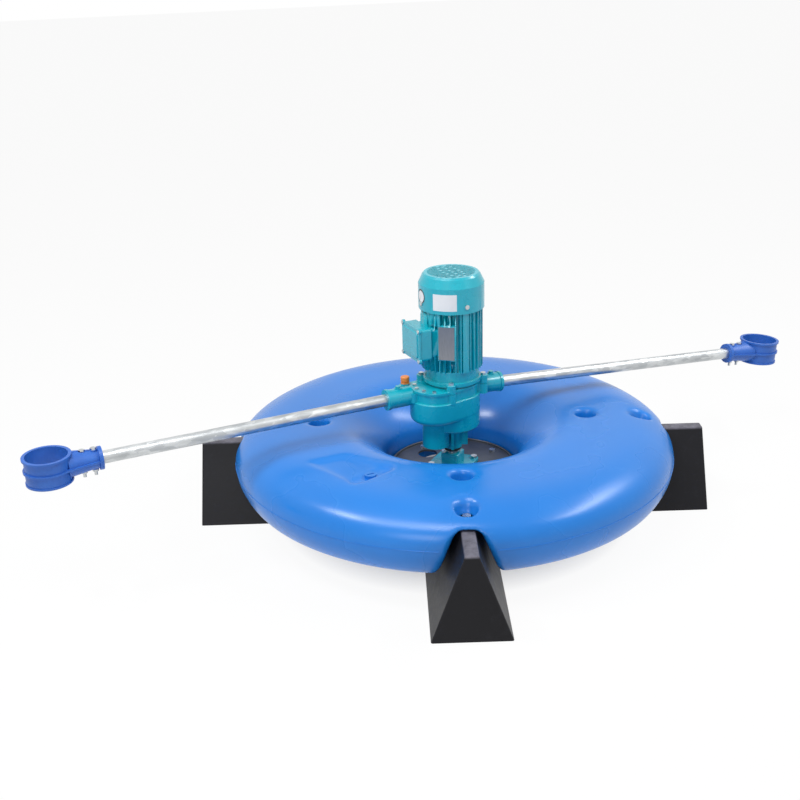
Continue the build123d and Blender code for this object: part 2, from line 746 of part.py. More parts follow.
with BuildPart() as gear_case:
    add(case_plan(bowl_underside, 0))
    extrude(amount=case_step - bowl_underside)
    fillet(gear_case.edges().group_by(Axis.Z)[0], bowl_edge_radius)
    fillet(gear_case.edges().group_by(Axis.Z)[-1], 3)
    add(case_plan(case_step - 4, -case_step_width))
    add(ear_plan(case_step - 4, 0))
    extrude(amount=case_split - case_step + 4)
    with BuildSketch(Plane.XY.offset(tier_underside)):
        Circle(tier_radius)
    extrude(amount=tier_height + bowl_edge_radius)
    fillet(gear_case.edges().group_by(Axis.Z)[0], tier_edge_radius)
    with BuildSketch(Plane((*lay_centre, lay_boss_underside))):
        Circle(lay_boss_radius)
    extrude(amount=bowl_floor - lay_boss_underside)
    with BuildSketch(Plane.XY.offset(output_boss_underside)):
        Circle(output_boss_radius)
    extrude(amount=tier_floor - output_boss_underside)
    with BuildSketch(Plane.XY.offset(output_boss_underside + 4)):
        with PolarLocations(rib_reach / 2, 4, start_angle=rib_turn):
            Rectangle(rib_reach, rib_thickness)
    extrude(amount=tier_floor - output_boss_underside - 4)
    with BuildSketch(Plane((0, shoulder_shift, case_split))):
        with Locations((-shoulder_reach, 0)):
            RectangleRounded(shoulder_reach, shoulder_width, 12, align=(Align.MIN, Align.CENTER))
    extrude(amount=-shoulder_thickness)
    for side in (1, -1):
        with BuildSketch(arm_way(side, upper_radius / 2)):
            Circle(socket_radius)
        extrude(amount=socket_ends[side] - upper_radius / 2)
        with BuildSketch(arm_way(side, socket_ends[side])):
            Circle(socket_ring_radius)
        extrude(amount=-socket_ring_width)
        with BuildSketch(screw_seat(side)):
            Circle(socket_pad_radius)
        extrude(amount=-socket_radius)
    add(case_plan(case_split, cover_overhang + 1 - case_step_width))
    add(ear_plan(case_split, 1))
    extrude(amount=2 * socket_radius, mode=Mode.SUBTRACT)
    add(case_plan(bowl_floor, -case_wall))
    extrude(amount=case_step - case_wall - bowl_floor, mode=Mode.SUBTRACT)
    add(case_plan(case_step - case_wall, -case_step_width - case_rim_width))
    extrude(amount=case_split - case_step + case_wall, mode=Mode.SUBTRACT)
    with BuildSketch(Plane.XY.offset(tier_floor)):
        Circle(tier_radius - case_wall)
    extrude(amount=bowl_floor - tier_floor, mode=Mode.SUBTRACT)
    with BuildSketch(Plane.XY.offset(tier_floor)):
        Circle(output_bearing_radius + case_wall)
    extrude(amount=output_bearing_bottom + bearing_width - tier_floor)
    with BuildSketch(Plane.XY.offset(output_bearing_bottom)):
        Circle(output_bearing_radius + seat_fit)
    extrude(amount=bearing_width, mode=Mode.SUBTRACT)
    with BuildSketch(Plane.XY.offset(bush_bottom)):
        Circle(bush_radius + seat_fit)
    extrude(amount=output_bearing_bottom - bush_bottom, mode=Mode.SUBTRACT)
    with BuildSketch(Plane.XY.offset(output_boss_underside)):
        Circle(output_shaft_radius + 1)
    extrude(amount=bush_bottom - output_boss_underside, mode=Mode.SUBTRACT)
    with BuildSketch(Plane.XY.offset(output_boss_underside)):
        Circle(seal_radius + seat_fit)
    extrude(amount=seal_seat, mode=Mode.SUBTRACT)
    with BuildSketch(Plane((*lay_centre, lay_bottom))):
        Circle(lay_bearing_radius + seat_fit)
    extrude(amount=bowl_floor - lay_bottom, mode=Mode.SUBTRACT)
    with BuildSketch(drain_seat):
        Circle(drain_plug_radius + 3)
    extrude(amount=-drain_boss_reach - case_wall / 2)
    for side in (1, -1):
        with BuildSketch(arm_way(side, socket_ends[side])):
            Circle(arm_radius + socket_fit)
        extrude(amount=-socket_depth, mode=Mode.SUBTRACT)
        with BuildSketch(screw_seat(side)):
            Circle(socket_screw_radius + seat_fit)
        extrude(amount=-socket_radius, mode=Mode.SUBTRACT)
    with BuildSketch(Plane.XY.offset(case_split)):
        with Locations(*cover_bolt_spots):
            Circle(case_bolt_radius + seat_fit)
    extrude(amount=-case_bolt_depth, mode=Mode.SUBTRACT)
    with BuildSketch(Plane.XY.offset(case_split)):
        with Locations(*ear_spots):
            Circle(shield_bolt_radius + seat_fit)
    extrude(amount=motor_seat - case_split - shield_bolt_depth, mode=Mode.SUBTRACT)
    with BuildSketch(Plane((breather_x, breather_y, case_split))):
        Circle(breather_radius)
    extrude(amount=breather_boss_height)
save(gear_case, "gear_case")

# Flat cover with a raised seat for the motor and a hanging boss for the layshaft's bearing
with BuildPart() as case_cover:
    add(case_plan(cover_base, cover_overhang - case_step_width))
    extrude(amount=cover_thickness)
    add(ear_plan(cover_base, 0))
    with BuildSketch(Plane.XY.offset(cover_base)):
        Circle(cover_pad_radius)
    extrude(amount=motor_seat - cover_base)
    with BuildSketch(Plane((*lay_centre, cover_base))):
        Circle(lay_bearing_radius + 5)
    extrude(amount=-gasket_thickness - bearing_width - 2)
    with BuildSketch(Plane((*lay_centre, lay_top_bearing_bottom - 2))):
        Circle(lay_bearing_radius + seat_fit)
    extrude(amount=bearing_width + 2, mode=Mode.SUBTRACT)
    with BuildSketch(Plane.XY.offset(cover_base - 1)):
        Circle(spigot_radius + seat_fit)
    extrude(amount=motor_seat - cover_base + 1, mode=Mode.SUBTRACT)
    with BuildSketch(Plane.XY.offset(cover_base - 1)):
        with Locations(*cover_bolt_spots):
            Circle(case_bolt_radius + running_fit)
        with Locations(*ear_spots):
            Circle(shield_bolt_radius + seat_fit)
    extrude(amount=motor_seat - cover_base + 1, mode=Mode.SUBTRACT)
save(case_cover, "case_cover")

with BuildPart() as case_gasket:
    add(case_plan(case_split, -case_step_width))
    extrude(amount=gasket_thickness)
    add(case_plan(case_split, -case_step_width - case_rim_width))
    with BuildSketch(Plane.XY.offset(case_split)):
        with Locations(*cover_bolt_spots):
            Circle(case_bolt_radius + seat_fit)
        with Locations(*ear_spots):
            Circle(shield_bolt_radius + seat_fit)
    extrude(amount=gasket_thickness, mode=Mode.SUBTRACT)
save(case_gasket, "case_gasket")
save(hex_bolts(Plane.XY.offset(cover_base + cover_thickness), cover_bolt_spots, case_bolt_radius,
               cover_thickness + gasket_thickness + case_bolt_depth - 1, 4.5), "case_bolts")

# Breather on the shoulder and drain plug at the back of the lower tier
breather_seat = Plane((breather_x, breather_y, case_split + breather_boss_height))
with BuildPart() as breather:
    with BuildSketch(breather_seat):
        RegularPolygon(breather_radius + 1, 6)
    extrude(amount=5)
    with BuildSketch(breather_seat.offset(5)):
        Circle(breather_radius - 3)
    extrude(amount=3)
    with BuildSketch(breather_seat.offset(8)):
        Circle(breather_radius)
    extrude(amount=breather_height - 8)
    fillet(breather.edges().group_by(Axis.Z)[-1], 3)
save(breather, "breather")

with BuildPart() as drain_plug:
    with BuildSketch(drain_seat):
        RegularPolygon(drain_plug_radius, 6)
    extrude(amount=8)
save(drain_plug, "drain_plug")


# Arms and ring brackets
ring_outer = ring_bore_radius + ring_wall
bolt_planes = []
for side, name in ((1, "right"), (-1, "left")):
    droop = radians(arm_droop[0] if side > 0 else arm_droop[1])
    reach = ring_flange_radius * cos(droop) + ring_height / 2 * sin(droop)
    ring_distance = (half_length - reach) / cos(droop)
    arm_start = socket_ends[side] - socket_depth
    arm_end = ring_distance - ring_outer - 3
    bolt_ways = [ring_distance - spot for spot in bracket_bolt_spots]
    out = arm_way(side, 0).z_dir
    up = arm_way(side, 0).y_dir
    lying = [Plane(arm_way(side, way).origin, x_dir=out, z_dir=up) for way in bolt_ways]
    bolt_planes += lying

    with BuildPart() as arm:
        with BuildSketch(arm_way(side, arm_start)):
            Circle(arm_radius)
            Circle(arm_radius - arm_wall, mode=Mode.SUBTRACT)
        extrude(amount=arm_end - arm_start)
        for way in lying:
            with BuildSketch(way):
                Circle(bracket_bolt_radius + running_fit)
            extrude(amount=arm_radius + 1, both=True, mode=Mode.SUBTRACT)
    save(arm, "arm_" + name)

    # Bracket: a flanged ring, a tapering socket with ribs on all four sides, and a collar
    ring_plane = Plane(arm_way(side, ring_distance).origin, x_dir=out, z_dir=up)
    collar_way = ring_distance - bracket_length
    flange_levels = (
        (-ring_height / 2, ring_foot_radius),
        (-ring_flange_height / 2, ring_flange_radius),
        (ring_height / 2 - ring_flange_height, ring_flange_radius),
    )
    with BuildPart() as bracket:
        with BuildSketch(ring_plane):
            Circle(ring_outer)
        extrude(amount=ring_height / 2, both=True)
        for level, radius in flange_levels:
            with BuildSketch(ring_plane.offset(level)):
                Circle(radius)
            extrude(amount=ring_flange_height)
        with BuildSketch(arm_way(side, collar_way)):
            Circle(bracket_neck_radius)
        with BuildSketch(arm_way(side, ring_distance - ring_bore_radius + 6)):
            Ellipse(ring_outer * 0.7, ring_height / 2 - 2)
        loft()
        with BuildSketch(arm_way(side, collar_way)):
            Circle(collar_radius)
        extrude(amount=collar_width)
        with BuildSketch(ring_plane.offset(-ring_flange_height / 2)):
            Polygon((-bracket_length, -bracket_wing_half), (0, -ring_outer),
                    (0, ring_outer), (-bracket_length, bracket_wing_half), align=None)
        extrude(amount=ring_flange_height)
        with BuildSketch(arm_way(side, collar_way)):
            Rectangle(bracket_rib_thickness, 2 * bracket_bolt_seat - 4)
        with BuildSketch(arm_way(side, ring_distance - ring_bore_radius)):
            Rectangle(bracket_rib_thickness, ring_height - 4)
        loft()
        for way in lying:
            with BuildSketch(way):
                Circle(bracket_boss_radius)
            extrude(amount=bracket_bolt_seat, both=True)
        for way in lying:
            with BuildSketch(way.offset(bracket_bolt_seat)):
                Circle(bracket_boss_radius)
            extrude(amount=ring_height / 2, mode=Mode.SUBTRACT)
            with BuildSketch(way.offset(-bracket_bolt_seat)):
                Circle(bracket_boss_radius)
            extrude(amount=-ring_height / 2, mode=Mode.SUBTRACT)
        with BuildSketch(ring_plane):
            Circle(ring_bore_radius)
        extrude(amount=ring_height / 2 + 1, both=True, mode=Mode.SUBTRACT)
        with BuildSketch(arm_way(side, collar_way - 1)):
            Circle(arm_radius + socket_fit)
        extrude(amount=arm_end - collar_way + 2, mode=Mode.SUBTRACT)
        for way in lying:
            with BuildSketch(way):
                Circle(bracket_bolt_radius + running_fit)
            extrude(amount=ring_height, both=True, mode=Mode.SUBTRACT)
    save(bracket, "bracket_" + name)

# The bolts and nuts of both brackets, and the clamping screws of both sockets
with BuildPart() as bracket_bolts:
    for way in bolt_planes:
        with BuildSketch(way.offset(bracket_bolt_seat)):
            RegularPolygon(bracket_bolt_radius * 1.9, 6)
        extrude(amount=5)
        with BuildSketch(way.offset(bracket_bolt_seat)):
            Circle(bracket_bolt_radius)
        extrude(amount=-2 * bracket_bolt_seat - 16)
save(bracket_bolts, "bracket_bolts")
with BuildPart() as bracket_nuts:
    for way in bolt_planes:
        with BuildSketch(way.offset(-bracket_bolt_seat)):
            RegularPolygon(bracket_bolt_radius * 1.9, 6)
            Circle(bracket_bolt_radius + seat_fit, mode=Mode.SUBTRACT)
        extrude(amount=-6)
save(bracket_nuts, "bracket_nuts")
with BuildPart() as socket_screws:
    for side in (1, -1):
        with BuildSketch(screw_seat(side)):
            RegularPolygon(socket_screw_radius * 1.9, 6)
        extrude(amount=5)
        with BuildSketch(screw_seat(side)):
            Circle(socket_screw_radius)
        extrude(amount=arm_radius - socket_radius - socket_pad_height)
save(socket_screws, "socket_screws")

# Motor, from the flange at the bottom to the fan cover on top
spigot_depth = motor_seat - cover_base
lower_bearing_bottom = motor_seat + 6
with BuildPart() as drive_shield:
    with BuildSketch(Plane.XY.offset(motor_seat)):
        Circle(shield_flange_radius)
        with Locations(*ear_spots):
            Circle(shield_ear_radius)
    extrude(amount=shield_flange_thickness)
    with BuildSketch(Plane.XY.offset(motor_seat)):
        Circle(shield_neck_radius)
    extrude(amount=shield_height)
    with BuildSketch(Plane.XY.offset(motor_seat)):
        Circle(spigot_radius)
    extrude(amount=-spigot_depth)
    with BuildSketch(Plane.XY.offset(motor_seat + shield_flange_thickness)):
        Circle(frame_bore - 2)
        Circle(motor_bearing_radius + 6, mode=Mode.SUBTRACT)
    extrude(amount=shield_height, mode=Mode.SUBTRACT)
    with BuildSketch(Plane.XY.offset(lower_bearing_bottom + bearing_width)):
        Circle(motor_bearing_radius + 7)
    extrude(amount=shield_height, mode=Mode.SUBTRACT)
    with BuildSketch(Plane.XY.offset(lower_bearing_bottom)):
        Circle(motor_bearing_radius + seat_fit)
    extrude(amount=shield_height, mode=Mode.SUBTRACT)
    with BuildSketch(Plane.XY.offset(cover_base)):
        Circle(motor_shaft_radius + 2)
    extrude(amount=shield_height, mode=Mode.SUBTRACT)
    with BuildSketch(Plane.XY.offset(motor_seat - 1)):
        with Locations(*ear_spots):
            Circle(shield_bolt_radius + running_fit)
    extrude(amount=shield_flange_thickness + 2, mode=Mode.SUBTRACT)
save(drive_shield, "drive_shield")
save(hex_bolts(Plane.XY.offset(motor_seat + shield_flange_thickness), ear_spots, shield_bolt_radius,
               shield_flange_thickness + shield_bolt_depth - 1, 6), "flange_bolts")

# Finned frame with pads for the terminal box and the name plate
box_plane = Plane((0, 0, box_height_middle), x_dir=(0, -1, 0), z_dir=(-1, 0, 0))
raised_ends = [radians(raised_turn + share * raised_arc) for share in (-0.5, 0.5)]
raised_corners = [(2 * fin_radius * cos(a), 2 * fin_radius * sin(a)) for a in raised_ends]
with BuildPart() as motor_frame:
    with BuildSketch(Plane.XY.offset(frame_bottom)):
        Circle(frame_body_radius)
        with PolarLocations((frame_body_radius + fin_radius) / 2 - 1, fin_count):
            Rectangle(fin_radius - frame_body_radius + 2, fin_thickness)
        with PolarLocations((frame_body_radius + fin_radius) / 2 - 1, 4):
            Rectangle(fin_radius - frame_body_radius + 2, fin_pad_width)
    extrude(amount=frame_length)
    with BuildSketch(Plane.XY.offset(frame_bottom)):
        with PolarLocations(0, 1, start_angle=name_pad_turn):
            Rectangle(name_pad_reach, name_pad_width, align=(Align.MIN, Align.CENTER))
    extrude(amount=frame_length)
    with BuildSketch(Plane.XY.offset(frame_bottom)):
        with PolarLocations(name_pad_reach, 1, start_angle=name_pad_turn):
            Rectangle(fin_radius, name_pad_width, align=(Align.MIN, Align.CENTER))
    extrude(amount=frame_length, mode=Mode.SUBTRACT)
    with BuildSketch(Plane.XY.offset(frame_top)):
        Polygon((0, 0), *raised_corners, align=None)
        Circle(fin_radius, mode=Mode.INTERSECT)
    extrude(amount=-raised_height)
    with BuildSketch(box_plane):
        RectangleRounded(box_width - 12, box_height - 8, box_corner)
    extrude(amount=box_pad_reach)
    with BuildSketch(box_plane.offset(box_pad_reach)):
        Rectangle(2 * fin_radius, 2 * frame_length)
    extrude(amount=fin_radius, mode=Mode.SUBTRACT)
    with BuildSketch(Plane.XY.offset(frame_bottom)):
        Circle(frame_bore)
    extrude(amount=frame_length, mode=Mode.SUBTRACT)
save(motor_frame, "motor_frame")

save(disc(stator_bottom, frame_bore - seat_fit, stator_length, stator_bore), "stator_core")
with BuildPart() as stator_winding:
    for level in (stator_bottom - winding_height, stator_bottom + stator_length):
        with BuildSketch(Plane.XY.offset(level)):
            Circle(stator_bore + 2 + winding_thickness)
            Circle(stator_bore + 2, mode=Mode.SUBTRACT)
        extrude(amount=winding_height)
save(stator_winding, "stator_winding")

# Rear shield, with four lugs that carry the fan cover
upper_bearing_bottom = frame_top
screw_height = frame_top + cover_screw_rise
screw_angles = [radians(90 * k) for k in range(4)]
with BuildPart() as rear_shield:
    with BuildSketch(Plane.XY.offset(frame_top)):
        Circle(frame_body_radius + 4)
        with PolarLocations(fan_cover_radius / 2, 4):
            Rectangle(fan_cover_radius, 16)
        Circle(fan_cover_radius - fan_cover_wall - fan_cover_fit, mode=Mode.INTERSECT)
    extrude(amount=rear_shield_thickness)
    with BuildSketch(Plane.XY.offset(frame_top)):
        Circle(motor_bearing_radius + 6)
    extrude(amount=rear_shield_thickness + 4)
    with BuildSketch(Plane.XY.offset(frame_top)):
        Circle(motor_bearing_radius + seat_fit)
    extrude(amount=bearing_width, mode=Mode.SUBTRACT)
    with BuildSketch(Plane.XY.offset(frame_top)):
        Circle(motor_shaft_radius + 1)
    extrude(amount=rear_shield_thickness + 4, mode=Mode.SUBTRACT)
    for turn in screw_angles:
        with BuildSketch(Plane((0, 0, screw_height), z_dir=(cos(turn), sin(turn), 0))):
            Circle(cover_screw_radius + seat_fit)
        extrude(amount=fan_cover_radius, mode=Mode.SUBTRACT)
save(rear_shield, "rear_shield")
for name, level in (("lower", lower_bearing_bottom), ("upper", upper_bearing_bottom)):
    save(disc(level, motor_bearing_radius, bearing_width, motor_shaft_radius + running_fit),
         "motor_bearing_" + name)

# Rotor: shaft, core, pinion plugged into the shaft's lower end, and the fan on its upper end
shaft_foot = motor_seat - spigot_depth + 4
with BuildPart() as motor_shaft:
    with BuildSketch(Plane.XY.offset(shaft_foot)):
        Circle(motor_shaft_radius)
    extrude(amount=fan_bottom + fan_height - shaft_foot)
    with BuildSketch(Plane.XY.offset(shaft_foot)):
        Circle(pinion_shank_radius + seat_fit)
    extrude(amount=40, mode=Mode.SUBTRACT)
save(motor_shaft, "motor_shaft")
with BuildPart() as drive_pinion:
    add(gear(fast_gear_bottom - 1, fast_gear_width + 2, fast_pinion_teeth, gear_module, 0, (0, 0),
             lay_angle + 180 / fast_pinion_teeth).part)
    with BuildSketch(Plane.XY.offset(fast_gear_bottom)):
        Circle(pinion_shank_radius)
    extrude(amount=shaft_foot + 38 - fast_gear_bottom)
save(drive_pinion, "drive_pinion")
save(disc(stator_bottom, stator_bore - air_gap, stator_length, motor_shaft_radius + seat_fit), "rotor_core")
with BuildPart() as cooling_fan:
    with BuildSketch(Plane.XY.offset(fan_bottom)):
        Circle(motor_shaft_radius + 8)
    extrude(amount=fan_height)
    with BuildSketch(Plane.XY.offset(fan_bottom)):
        Circle(fan_radius)
    extrude(amount=2.5)
    with BuildSketch(Plane.XY.offset(fan_bottom)):
        with PolarLocations(fan_radius / 2, fan_blade_count):
            Rectangle(fan_radius, 2.5)
    extrude(amount=fan_height - 3)
    with BuildSketch(Plane.XY.offset(fan_bottom)):
        Circle(motor_shaft_radius + seat_fit)
    extrude(amount=fan_height, mode=Mode.SUBTRACT)
save(cooling_fan, "cooling_fan")

# Fan cover: a pressed cap with a slotted top, screwed to the rear shield's lugs
inner = fan_cover_radius - fan_cover_wall
with BuildPart() as fan_cover:
    with BuildSketch(Plane.XZ):
        with BuildLine():
            Polyline(
                (0, fan_cover_top), (fan_cover_top_radius - 4, fan_cover_top),
                (fan_cover_top_radius + 1, fan_cover_top - 5), (fan_cover_radius, fan_cover_shoulder),
                (fan_cover_radius, fan_cover_bottom), (inner, fan_cover_bottom),
                (inner, fan_cover_shoulder), (fan_cover_top_radius - 0.5, fan_cover_top - 5.5),
                (fan_cover_top_radius - 5, fan_cover_top - fan_cover_wall),
                (0, fan_cover_top - fan_cover_wall), close=True,
            )
        make_face()
    revolve(axis=Axis.Z)
    columns = int(grille_reach / grille_pitch)
    with BuildSketch(Plane.XY.offset(fan_cover_top + 1)):
        for k in range(-columns, columns + 1):
            half = sqrt(grille_reach**2 - (k * grille_pitch) ** 2)
            rows = 2 if k % 2 else 3
            length = (2 * half - (rows - 1) * grille_bridge) / rows
            if length > 2 * grille_slot_width:
                with Locations((0, k * grille_pitch)):
                    with GridLocations(length + grille_bridge, 1, rows, 1):
                        SlotOverall(length, grille_slot_width)
    extrude(amount=-2 * fan_cover_wall, mode=Mode.SUBTRACT)
    for turn in screw_angles:
        outward = (cos(turn), sin(turn), 0)
        with BuildSketch(Plane((0, 0, screw_height), z_dir=outward)):
            Circle(cover_screw_radius + seat_fit)
        extrude(amount=2 * fan_cover_radius, mode=Mode.SUBTRACT)
save(fan_cover, "fan_cover")

with BuildPart() as cover_screws:
    for turn in screw_angles:
        outward = (cos(turn), sin(turn), 0)
        spot = (fan_cover_radius * cos(turn), fan_cover_radius * sin(turn), screw_height)
        with BuildSketch(Plane(spot, z_dir=outward)):
            Circle(2 * cover_screw_radius)
        extrude(amount=cover_screw_radius)
        with BuildSketch(Plane(spot, z_dir=outward)):
            Circle(cover_screw_radius)
        extrude(amount=-cover_screw_length)
save(cover_screws, "cover_screws")

# Terminal box on the frame's pad, facing the left arm
box_base = box_pad_reach
lid_base = box_pad_reach + box_depth + box_gasket
with BuildPart() as terminal_box:
    with BuildSketch(box_plane.offset(box_base)):
        RectangleRounded(box_width, box_height, box_corner)
    extrude(amount=box_depth)
    with BuildSketch(box_plane.offset(box_base + box_wall)):
        RectangleRounded(box_width - 2 * box_wall, box_height - 2 * box_wall, box_corner - box_wall)
    extrude(amount=box_depth, mode=Mode.SUBTRACT)
save(terminal_box, "terminal_box")
with BuildPart() as terminal_gasket:
    with BuildSketch(box_plane.offset(box_base + box_depth)):
        RectangleRounded(box_width, box_height, box_corner)
        RectangleRounded(box_width - 2 * box_wall, box_height - 2 * box_wall, box_corner - box_wall,
                         mode=Mode.SUBTRACT)
    extrude(amount=box_gasket)
save(terminal_gasket, "terminal_gasket")
lid_spots = (lid_width - 2 * lid_ear_radius, lid_height - 2 * lid_ear_radius)
with BuildPart() as terminal_lid:
    with BuildSketch(box_plane.offset(lid_base)):
        RectangleRounded(lid_width - 6, lid_height - 6, box_corner)
        with GridLocations(*lid_spots, 2, 2):
            Circle(lid_ear_radius)
    extrude(amount=lid_thickness - 3)
    with BuildSketch(box_plane.offset(lid_base + lid_thickness - 3)):
        RectangleRounded(lid_width - 24, lid_height - 24, box_corner)
    extrude(amount=3, taper=25)
save(terminal_lid, "terminal_lid")
with BuildPart() as lid_screws:
    with BuildSketch(box_plane.offset(lid_base + lid_thickness - 3)):
        with GridLocations(*lid_spots, 2, 2):
            Circle(2 * lid_screw_radius)
    extrude(amount=lid_screw_radius)
save(lid_screws, "lid_screws")
with BuildPart() as terminal_block:
    with BuildSketch(box_plane.offset(box_base + box_wall)):
        Rectangle(block_width, block_height)
    extrude(amount=block_step)
    with BuildSketch(box_plane.offset(box_base + box_wall + block_step)):
        with GridLocations(block_width / 3, block_height / 2, 3, 2):
            Circle(lid_screw_radius)
    extrude(amount=block_step)
save(terminal_block, "terminal_block")

# Empty cable gland on the side of the box away from the front
gland_x = -box_base - box_depth / 2 - 1
gland_seat = Plane((gland_x, box_width / 2, box_height_middle), x_dir=(1, 0, 0), z_dir=(0, 1, 0))
with BuildPart() as cable_gland:
    with BuildSketch(gland_seat):
        RegularPolygon(gland_radius, 6)
    extrude(amount=gland_length / 2)
    with BuildSketch(gland_seat.offset(gland_length / 2)):
        Circle(gland_radius - 1.5)
    extrude(amount=gland_length / 2)
    with BuildSketch(gland_seat):
        Circle(gland_bore_radius)
    extrude(amount=gland_length, mode=Mode.SUBTRACT)
save(cable_gland, "cable_gland")
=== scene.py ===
import math

import bpy
from mathutils import Matrix, Vector
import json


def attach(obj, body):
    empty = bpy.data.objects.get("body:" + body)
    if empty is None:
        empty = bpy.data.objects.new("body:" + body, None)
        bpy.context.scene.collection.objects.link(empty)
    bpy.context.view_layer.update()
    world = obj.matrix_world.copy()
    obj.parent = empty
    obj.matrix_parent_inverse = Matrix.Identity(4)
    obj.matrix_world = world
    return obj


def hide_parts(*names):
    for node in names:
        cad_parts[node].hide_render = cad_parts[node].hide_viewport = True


# Floating surge aerator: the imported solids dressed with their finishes, and smoother or finer
# pieces where a solid is too plain. +Z up, origin on the rotor axis at the floor. The frame is in
# metres, and what is drawn here is written in millimetres and degrees.
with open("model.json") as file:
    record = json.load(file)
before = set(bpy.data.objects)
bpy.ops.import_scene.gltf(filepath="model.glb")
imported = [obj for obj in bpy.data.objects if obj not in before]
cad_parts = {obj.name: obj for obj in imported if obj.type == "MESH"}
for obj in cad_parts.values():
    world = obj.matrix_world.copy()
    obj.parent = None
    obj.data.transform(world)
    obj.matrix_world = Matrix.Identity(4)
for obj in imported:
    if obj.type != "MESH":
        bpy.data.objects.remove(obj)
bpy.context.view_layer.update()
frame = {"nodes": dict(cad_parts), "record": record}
nodes = frame["nodes"]
record = frame["record"]

MM = 0.001

# Where the blades point, and how high they and the float stand
blade_turn = -23.9
blade_ridge = 216
float_underside = 94
float_radius = 600
seam_height = 176
crest_radius = 428
crest_height = 264

# The motor: the gear case's top, the fan cover's foot, and the rating plate between them
frame_low = 410
frame_high = 600
cover_radius = 87.5
plate_angle = -127
plate_distance = 81
plate_height = 502
plate_half_width = 21
plate_half_height = 45


# Colours and shader nodes
def colour(code):
    """A colour from its sRGB hex value, in linear light."""
    parts = [int(code[k:k + 2], 16) / 255 for k in (1, 3, 5)]
    return tuple(p / 12.92 if p <= 0.04045 else ((p + 0.055) / 1.055) ** 2.4 for p in parts) + (1.0,)


def per_mm(size):
    """The texture scale at which one feature is so many millimetres across."""
    return 1000.0 / size


def bands_mm(size):
    """The wave texture's scale at which a light or dark band is about so many millimetres wide."""
    return per_mm(size) / 6.28


def add(tree, kind, inputs, **settings):
    """Adds one shader node with its settings, values and links."""
    made = tree.nodes.new("ShaderNode" + kind)
    for name, value in settings.items():
        setattr(made, name, value)
    for socket, value in inputs.items():
        if isinstance(value, bpy.types.NodeSocket):
            tree.links.new(value, made.inputs[socket])
        else:
            made.inputs[socket].default_value = value
    return made


def new_finish(name):
    """An empty node material with its output, and the object's own coordinates."""
    finish = bpy.data.materials.new(name)
    finish.use_nodes = True
    tree = finish.node_tree
    tree.nodes.clear()
    place = add(tree, "TexCoord", {}).outputs["Object"]
    return finish, tree, place


def close_finish(tree, shader):
    add(tree, "OutputMaterial", {"Surface": shader.outputs[0]})


# Rotationally moulded polyethylene: satin, its sheen changing slowly over the float as the mould
# left it, and a little paler where it has been rubbed.
moulded_blue, tree, place = new_finish("moulded polyethylene, blue")
cloud = add(tree, "TexNoise", {"Vector": place, "Scale": per_mm(260), "Detail": 3.0, "Roughness": 0.5})
scuff = add(tree, "TexNoise", {"Vector": place, "Scale": per_mm(35), "Detail": 8.0, "Roughness": 0.7})
rubbed = add(tree, "MapRange", {"Value": scuff.outputs["Fac"], "From Min": 0.58, "From Max": 0.78,
                                "To Max": 0.22})
base = add(tree, "MixRGB", {"Fac": cloud.outputs["Fac"], "Color1": colour("#1573CA"),
                            "Color2": colour("#1F80DA")})
worn = add(tree, "MixRGB", {"Fac": rubbed.outputs[0], "Color1": base.outputs[0],
                            "Color2": colour("#4C97E0")})
sheen = add(tree, "MapRange", {"Value": cloud.outputs["Fac"], "From Min": 0.3, "From Max": 0.7,
                               "To Min": 0.22, "To Max": 0.32})
close_finish(tree, add(tree, "BsdfPrincipled", {
    "Base Color": worn.outputs[0], "Roughness": sheen.outputs[0], "IOR": 1.5, "Specular IOR Level": 0.45}))

# The same polyethylene in black: slate grey where the skin is scuffed, near black on the flanks, and
# a painted highlight: a paler band just under the ridge top, equally high on all four blades.
moulded_black, tree, place = new_finish("moulded polyethylene, black")
scuff = add(tree, "TexNoise", {"Vector": place, "Scale": per_mm(28), "Detail": 9.0, "Roughness": 0.72})
cloud = add(tree, "TexNoise", {"Vector": place, "Scale": per_mm(140), "Detail": 3.0})
rubbed = add(tree, "MapRange", {"Value": scuff.outputs["Fac"], "From Min": 0.54, "From Max": 0.8,
                                "To Max": 0.45})
base = add(tree, "MixRGB", {"Fac": cloud.outputs["Fac"], "Color1": colour("#0E0E12"),
                            "Color2": colour("#16161B")})
worn = add(tree, "MixRGB", {"Fac": rubbed.outputs[0], "Color1": base.outputs[0],
                            "Color2": colour("#2B2B31")})
height = add(tree, "SeparateXYZ", {"Vector": place})
# Painted highlight: a pale band just below the ridge's top, where the blades' upper edges catch the light,
# broken into patches by the scuff noise
ridge_highlight_zone = add(tree, "MapRange", {"Value": height.outputs[2], "From Min": (blade_ridge - 6.5) * MM,
                               "From Max": (blade_ridge - 1.5) * MM, "To Max": 0.8})
highlight_patches = add(tree, "MapRange", {"Value": scuff.outputs["Fac"], "From Min": 0.3, "From Max": 0.62,
                                "To Min": 0.35})
painted_ridge_highlight = add(tree, "Math", {0: ridge_highlight_zone.outputs[0], 1: highlight_patches.outputs[0]}, operation="MULTIPLY")
with_ridge_highlight = add(tree, "MixRGB", {"Fac": painted_ridge_highlight.outputs[0], "Color1": worn.outputs[0],
                              "Color2": colour("#7B7985")})
sheen = add(tree, "MapRange", {"Value": scuff.outputs["Fac"], "To Min": 0.34, "To Max": 0.56})
peel = add(tree, "TexNoise", {"Vector": place, "Scale": per_mm(2.5), "Detail": 2.0})
fine = add(tree, "Bump", {"Height": peel.outputs["Fac"], "Strength": 0.2, "Distance": 0.0004})
close_finish(tree, add(tree, "BsdfPrincipled", {
    "Base Color": with_ridge_highlight.outputs[0], "Roughness": sheen.outputs[0], "IOR": 1.5, "Normal": fine.outputs[0],
    "Specular IOR Level": 0.22}))

